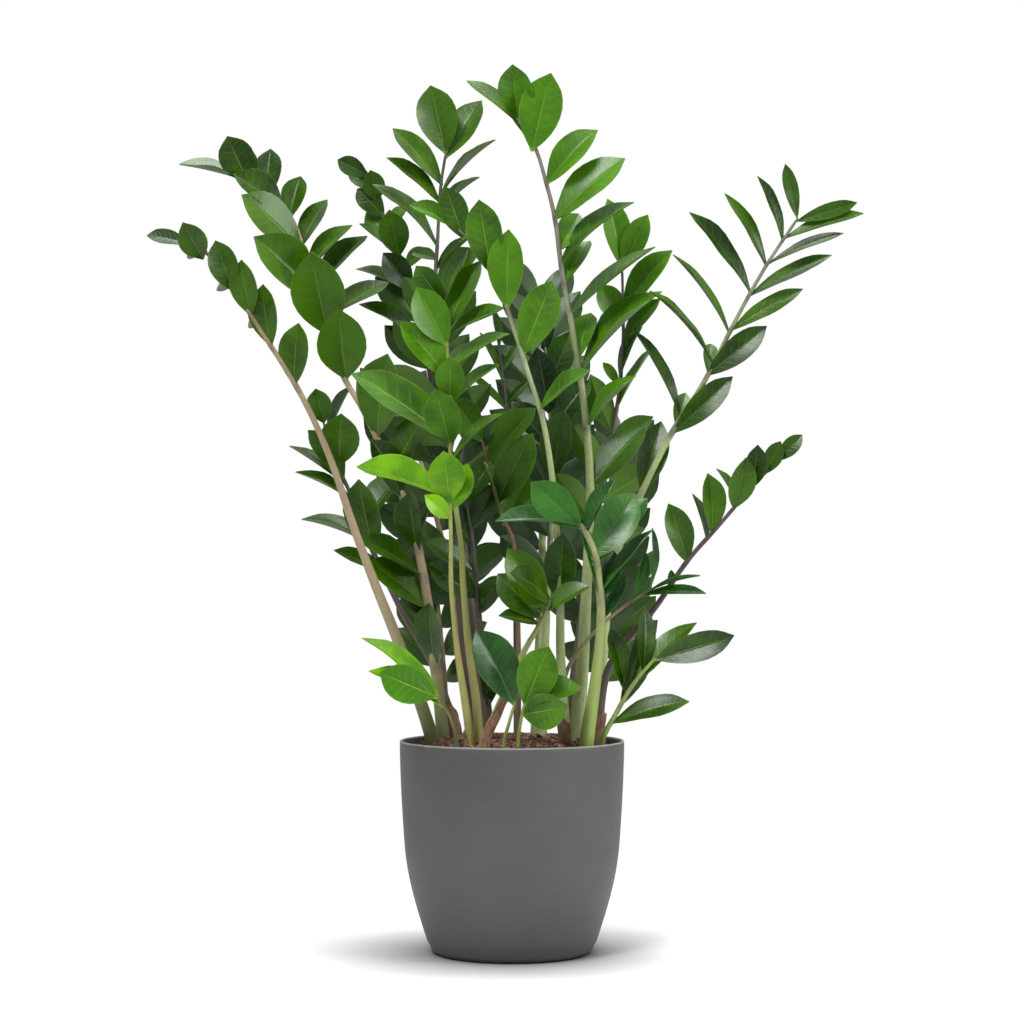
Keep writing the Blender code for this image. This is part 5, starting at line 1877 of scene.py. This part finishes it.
    def build(self) -> list[Piece]:
        """Model the soil.

        Returns:
            Its body, its chips, its crumbs and its threads.
        """
        sizes = ((1.25, 0.75, 0.34), (0.95, 0.65, 0.42), (1.6, 0.55, 0.30), (0.8, 0.8, 0.30))
        chips = [self.chip_template(seed, size) for seed, size in enumerate(sizes)]
        crumbs = [self.chip_template(seed, size) for seed, size in enumerate(sizes, 9)]
        pieces = [
            self.body(),
            self.scattered("bark_chips", chips, self.chips, (0.5, 1.05), 0.05, 38),
            self.scattered("bark_crumbs", crumbs, self.crumbs, (0.18, 0.42), -0.1, 80),
            self.coir(),
        ]
        for template in chips + crumbs:
            bpy.data.objects.remove(template, do_unlink=True)
        return pieces


@dataclass
class DrySheath:
    """A dry papery sheath round a stalk's foot: ribbed, flared and torn along its top."""

    name: str
    line: StalkLine
    ground: float
    height: float
    opening: float
    cover: float
    chance: random.Random
    columns: int = 26
    rows: int = 12
    skin: float = 0.05

    def build(self) -> Piece:
        """Model the sheath from a grid that is bent round the stalk.

        Returns:
            The sheath.
        """
        deselect_all()
        bpy.ops.mesh.primitive_grid_add(
            x_subdivisions=self.columns, y_subdivisions=self.rows, size=1
        )
        sheath = bpy.context.object
        sheath.name = self.name + "_paper"
        line = self.line
        total = line.fine_lengths[-1]
        shift = self.chance.uniform(0, 50)
        for vert in sheath.data.vertices:
            around, up = vert.co.x, vert.co.y + 0.5
            torn = 0.90 + 0.22 * noise.noise(Vector((around * 3.2 + shift, 0.0, 1.0)))
            torn += 0.16 * noise.noise(Vector((around * 11 + shift, 3.0, 0.0)))
            torn -= 0.45 * abs(around) ** 1.5
            level = self.ground + self.height * up * torn
            length = line.length_at_height(level, fine=True)
            centre, _ = point_along(line.fine, line.fine_lengths, length)
            cover = self.cover * (1 - 0.30 * up**2)
            turn = math.radians(self.opening + 180 + cover * around)
            radius = line.radius_at_share(length / total) + 0.10 + 0.20 * up**2 * abs(around) * 2
            radius += 0.035 * math.sin(around * 60)
            radius += 0.10 * noise.noise(Vector((around * 4, up * 3, shift)))
            x, y = centre.x + radius * math.cos(turn), centre.y + radius * math.sin(turn)
            vert.co = Vector((x, y, level)) * CM
        activate(sheath)
        bpy.ops.object.mode_set(mode="EDIT")
        bpy.ops.mesh.select_all(action="SELECT")
        bpy.ops.mesh.normals_make_consistent(inside=False)
        bpy.ops.object.mode_set(mode="OBJECT")
        apply_modifier(sheath, "SOLIDIFY", thickness=self.skin * CM, offset=0.0)
        store(sheath.data, "tone", self.chance.uniform(0.3, 0.9))
        shade(sheath, 50)
        return sheath


# Studio ----------------------------------------


@dataclass
class Studio:
    """A pale floor with a painted contact shadow round the pot, soft light from all round and a
    camera at the front.
    """

    distance: float = 2.70
    height: float = 0.423
    lift_degrees: float = 1.19
    lens: float = 86.77
    ambient: float = 0.30
    mirrored: float = 0.7
    # How far the floor's painted contact shadow reaches and how deep it is
    shadow_reach: float = 0.13
    shadow_depth: float = 1.45
    glow: float = 0.17
    fade: tuple[float, float] = (0.30, 0.85)

    def floor(self) -> None:
        """Lay the pale floor: its colour and glow are darkened round the pot as a painted contact
        shadow, and further out it glows white.
        """
        deselect_all()
        bpy.ops.mesh.primitive_plane_add(size=3, location=(0, 0, -0.0003))
        floor = bpy.context.object
        floor.name = "studio_floor"
        apply_place(floor)
        made = bpy.data.materials.new("studio_white")
        made.use_nodes = True
        shader = made.node_tree.nodes["Principled BSDF"]
        graph = Graph(made.node_tree)
        # Painted contact shadow: ambient occlusion darkens the floor's colour and glow round the
        # pot
        painted_shadow_ao = graph.node("AmbientOcclusion", Distance=self.shadow_reach).outputs["AO"]
        painted_shadow_ao = graph.math("POWER", painted_shadow_ao, self.shadow_depth)
        away = graph.from_axis(graph.place())
        near_with_painted_shadow = graph.math("MULTIPLY", graph.smooth(away, *self.fade, 1.0, 0.0), painted_shadow_ao)
        pale = graph.blend(near_with_painted_shadow, (0.0, 0.0, 0.0, 1), (0.95, 0.95, 0.95, 1))
        graph.put(pale, shader.inputs["Base Color"])
        seen = graph.node("LightPath").outputs["Is Camera Ray"]
        bright = graph.smooth(seen, 0.0, 1.0, 0.6, 1.0)
        white = graph.math("MULTIPLY", graph.smooth(away, *self.fade), bright)
        glow = graph.math("MULTIPLY_ADD", near_with_painted_shadow, self.glow, white)
        graph.put(glow, shader.inputs["Emission Strength"])
        shader.inputs["Roughness"].default_value = 0.9
        shader.inputs["Specular IOR Level"].default_value = 0.1
        shader.inputs["Emission Color"].default_value = (1, 1, 1, 1)
        floor.data.materials.append(made)

    def lamp(self, name: str, place: Point, size: float, power: float) -> None:
        """Hang a large square lamp that faces the plant's middle.

        Args:
            name: the lamp's name.
            place: where it hangs, in metres.
            size: its side in metres.
            power: its power in watts.
        """
        deselect_all()
        bpy.ops.object.light_add(type="AREA", location=place)
        lamp = bpy.context.object
        lamp.name = name
        lamp.data.shape = "SQUARE"
        lamp.data.size = size
        lamp.data.energy = power
        aim = Vector((0, 0, 0.45)) - Vector(place)
        lamp.rotation_euler = aim.to_track_quat("-Z", "Y").to_euler()

    def world(self) -> None:
        """Show white all round, and light the plant more softly than that white would."""
        world = bpy.data.worlds.new("studio_world")
        world.use_nodes = True
        graph = Graph(world.node_tree)
        back = world.node_tree.nodes["Background"]
        back.inputs["Color"].default_value = (1.0, 1.0, 1.0, 1)
        rays = graph.node("LightPath").outputs
        extra = self.mirrored - self.ambient
        mirrored = graph.math("MULTIPLY_ADD", rays["Is Glossy Ray"], extra, self.ambient)
        strength = graph.math("MAXIMUM", mirrored, rays["Is Camera Ray"])
        graph.put(strength, back.inputs["Strength"])
        bpy.context.scene.world = world
        bpy.context.scene.view_settings.view_transform = "Standard"

    def camera(self) -> None:
        """Stand the camera in front of the plant."""
        deselect_all()
        bpy.ops.object.camera_add(
            location=(0, -self.distance, self.height),
            rotation=(math.radians(90 + self.lift_degrees), 0, 0),
        )
        camera = bpy.context.object
        camera.data.lens = self.lens
        camera.data.sensor_width = 36
        bpy.context.scene.camera = camera

    def build(self) -> None:
        """Set up the whole studio."""
        self.floor()
        self.world()
        self.lamp("key_lamp", (-1.0, -2.0, 2.6), 0.9, 62)
        self.lamp("fill_lamp", (2.3, -0.9, 1.3), 1.0, 33)
        self.lamp("top_lamp", (0.2, 0.3, 2.7), 1.2, 44)
        self.camera()


# The whole plant ----------------------------------------


def build_pot_and_soil(lines: dict[str, StalkLine], mottle: Tree) -> None:
    """Build the pot, the soil and the sheaths.

    Args:
        lines: each frond's stalk by name.
        mottle: the mottle group.
    """
    low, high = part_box("pot")
    pot = Pot(rim=(high[0] - low[0]) / 2 / CM, height=high[2] / CM)
    dress(pot.build(), POT_FINISH.make(mottle, pot.rim * CM, pot.height * CM), "pot", "pot")
    feet = []
    for line in lines.values():
        length = line.length_at_height(FOOT_LEVEL)
        foot, _ = line.at(length)
        feet.append((foot.x, foot.y, line.radius_at_share(length / line.lengths[-1])))
    soil = BarkSoil(pot, feet, random.Random(SOIL_SEED))
    soil_finish = SOIL_FINISH.make(mottle)
    chip_finish = CHIP_FINISH.make(mottle)
    body, *loose = soil.build()
    dress(body, soil_finish, "soil", "soil")
    for piece in loose:
        dress(piece, chip_finish, "soil")
    sheath_finish = SHEATH_FINISH.make(mottle)
    chance = random.Random(SHEATH_SEED)
    for name, frond, lift, height, opening, cover in SHEATHS:
        foot, _ = lines[frond].at(lines[frond].length_at_height(SOIL_LEVEL))
        ground = soil.top(math.hypot(foot.x, foot.y)) + lift - 0.3
        sheath = DrySheath(name, lines[frond], ground, height, opening, cover, chance)
        dress(sheath.build(), sheath_finish, "sheath", name)


def build_fronds(lines: dict[str, StalkLine], mottle: Tree) -> None:
    """Grow and build every frond.

    Args:
        lines: each frond's stalk by name.
        mottle: the mottle group.
    """
    pattern = leaf_pattern_group()
    leaves = {tone: finish.make(pattern, mottle) for tone, finish in LEAF_FINISHES.items()}
    stalks = {tone: finish.make(mottle) for tone, finish in STALK_FINISHES.items()}
    template = LeafTemplate().build()
    blades = grown_blades(lines)
    for i, (name, line) in enumerate(lines.items()):
        frond = Frond(line.plan, line, blades[name], random.Random(FIRST_FROND_SEED + i))
        frond.make(template, leaves[line.plan.leaf], stalks[line.plan.stalk])
    bpy.data.objects.remove(template, do_unlink=True)


def main() -> None:
    """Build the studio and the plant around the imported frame."""
    logging.basicConfig(level=logging.INFO, format="%(name)s: %(message)s")
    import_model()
    noise.seed_set(NOISE_SEED)
    Studio().build()
    mottle = mottle_group()
    lines = {plan.name: StalkLine(plan) for plan in FRONDS}
    build_pot_and_soil(lines, mottle)
    build_fronds(lines, mottle)


if __name__ == "__main__":
    main()
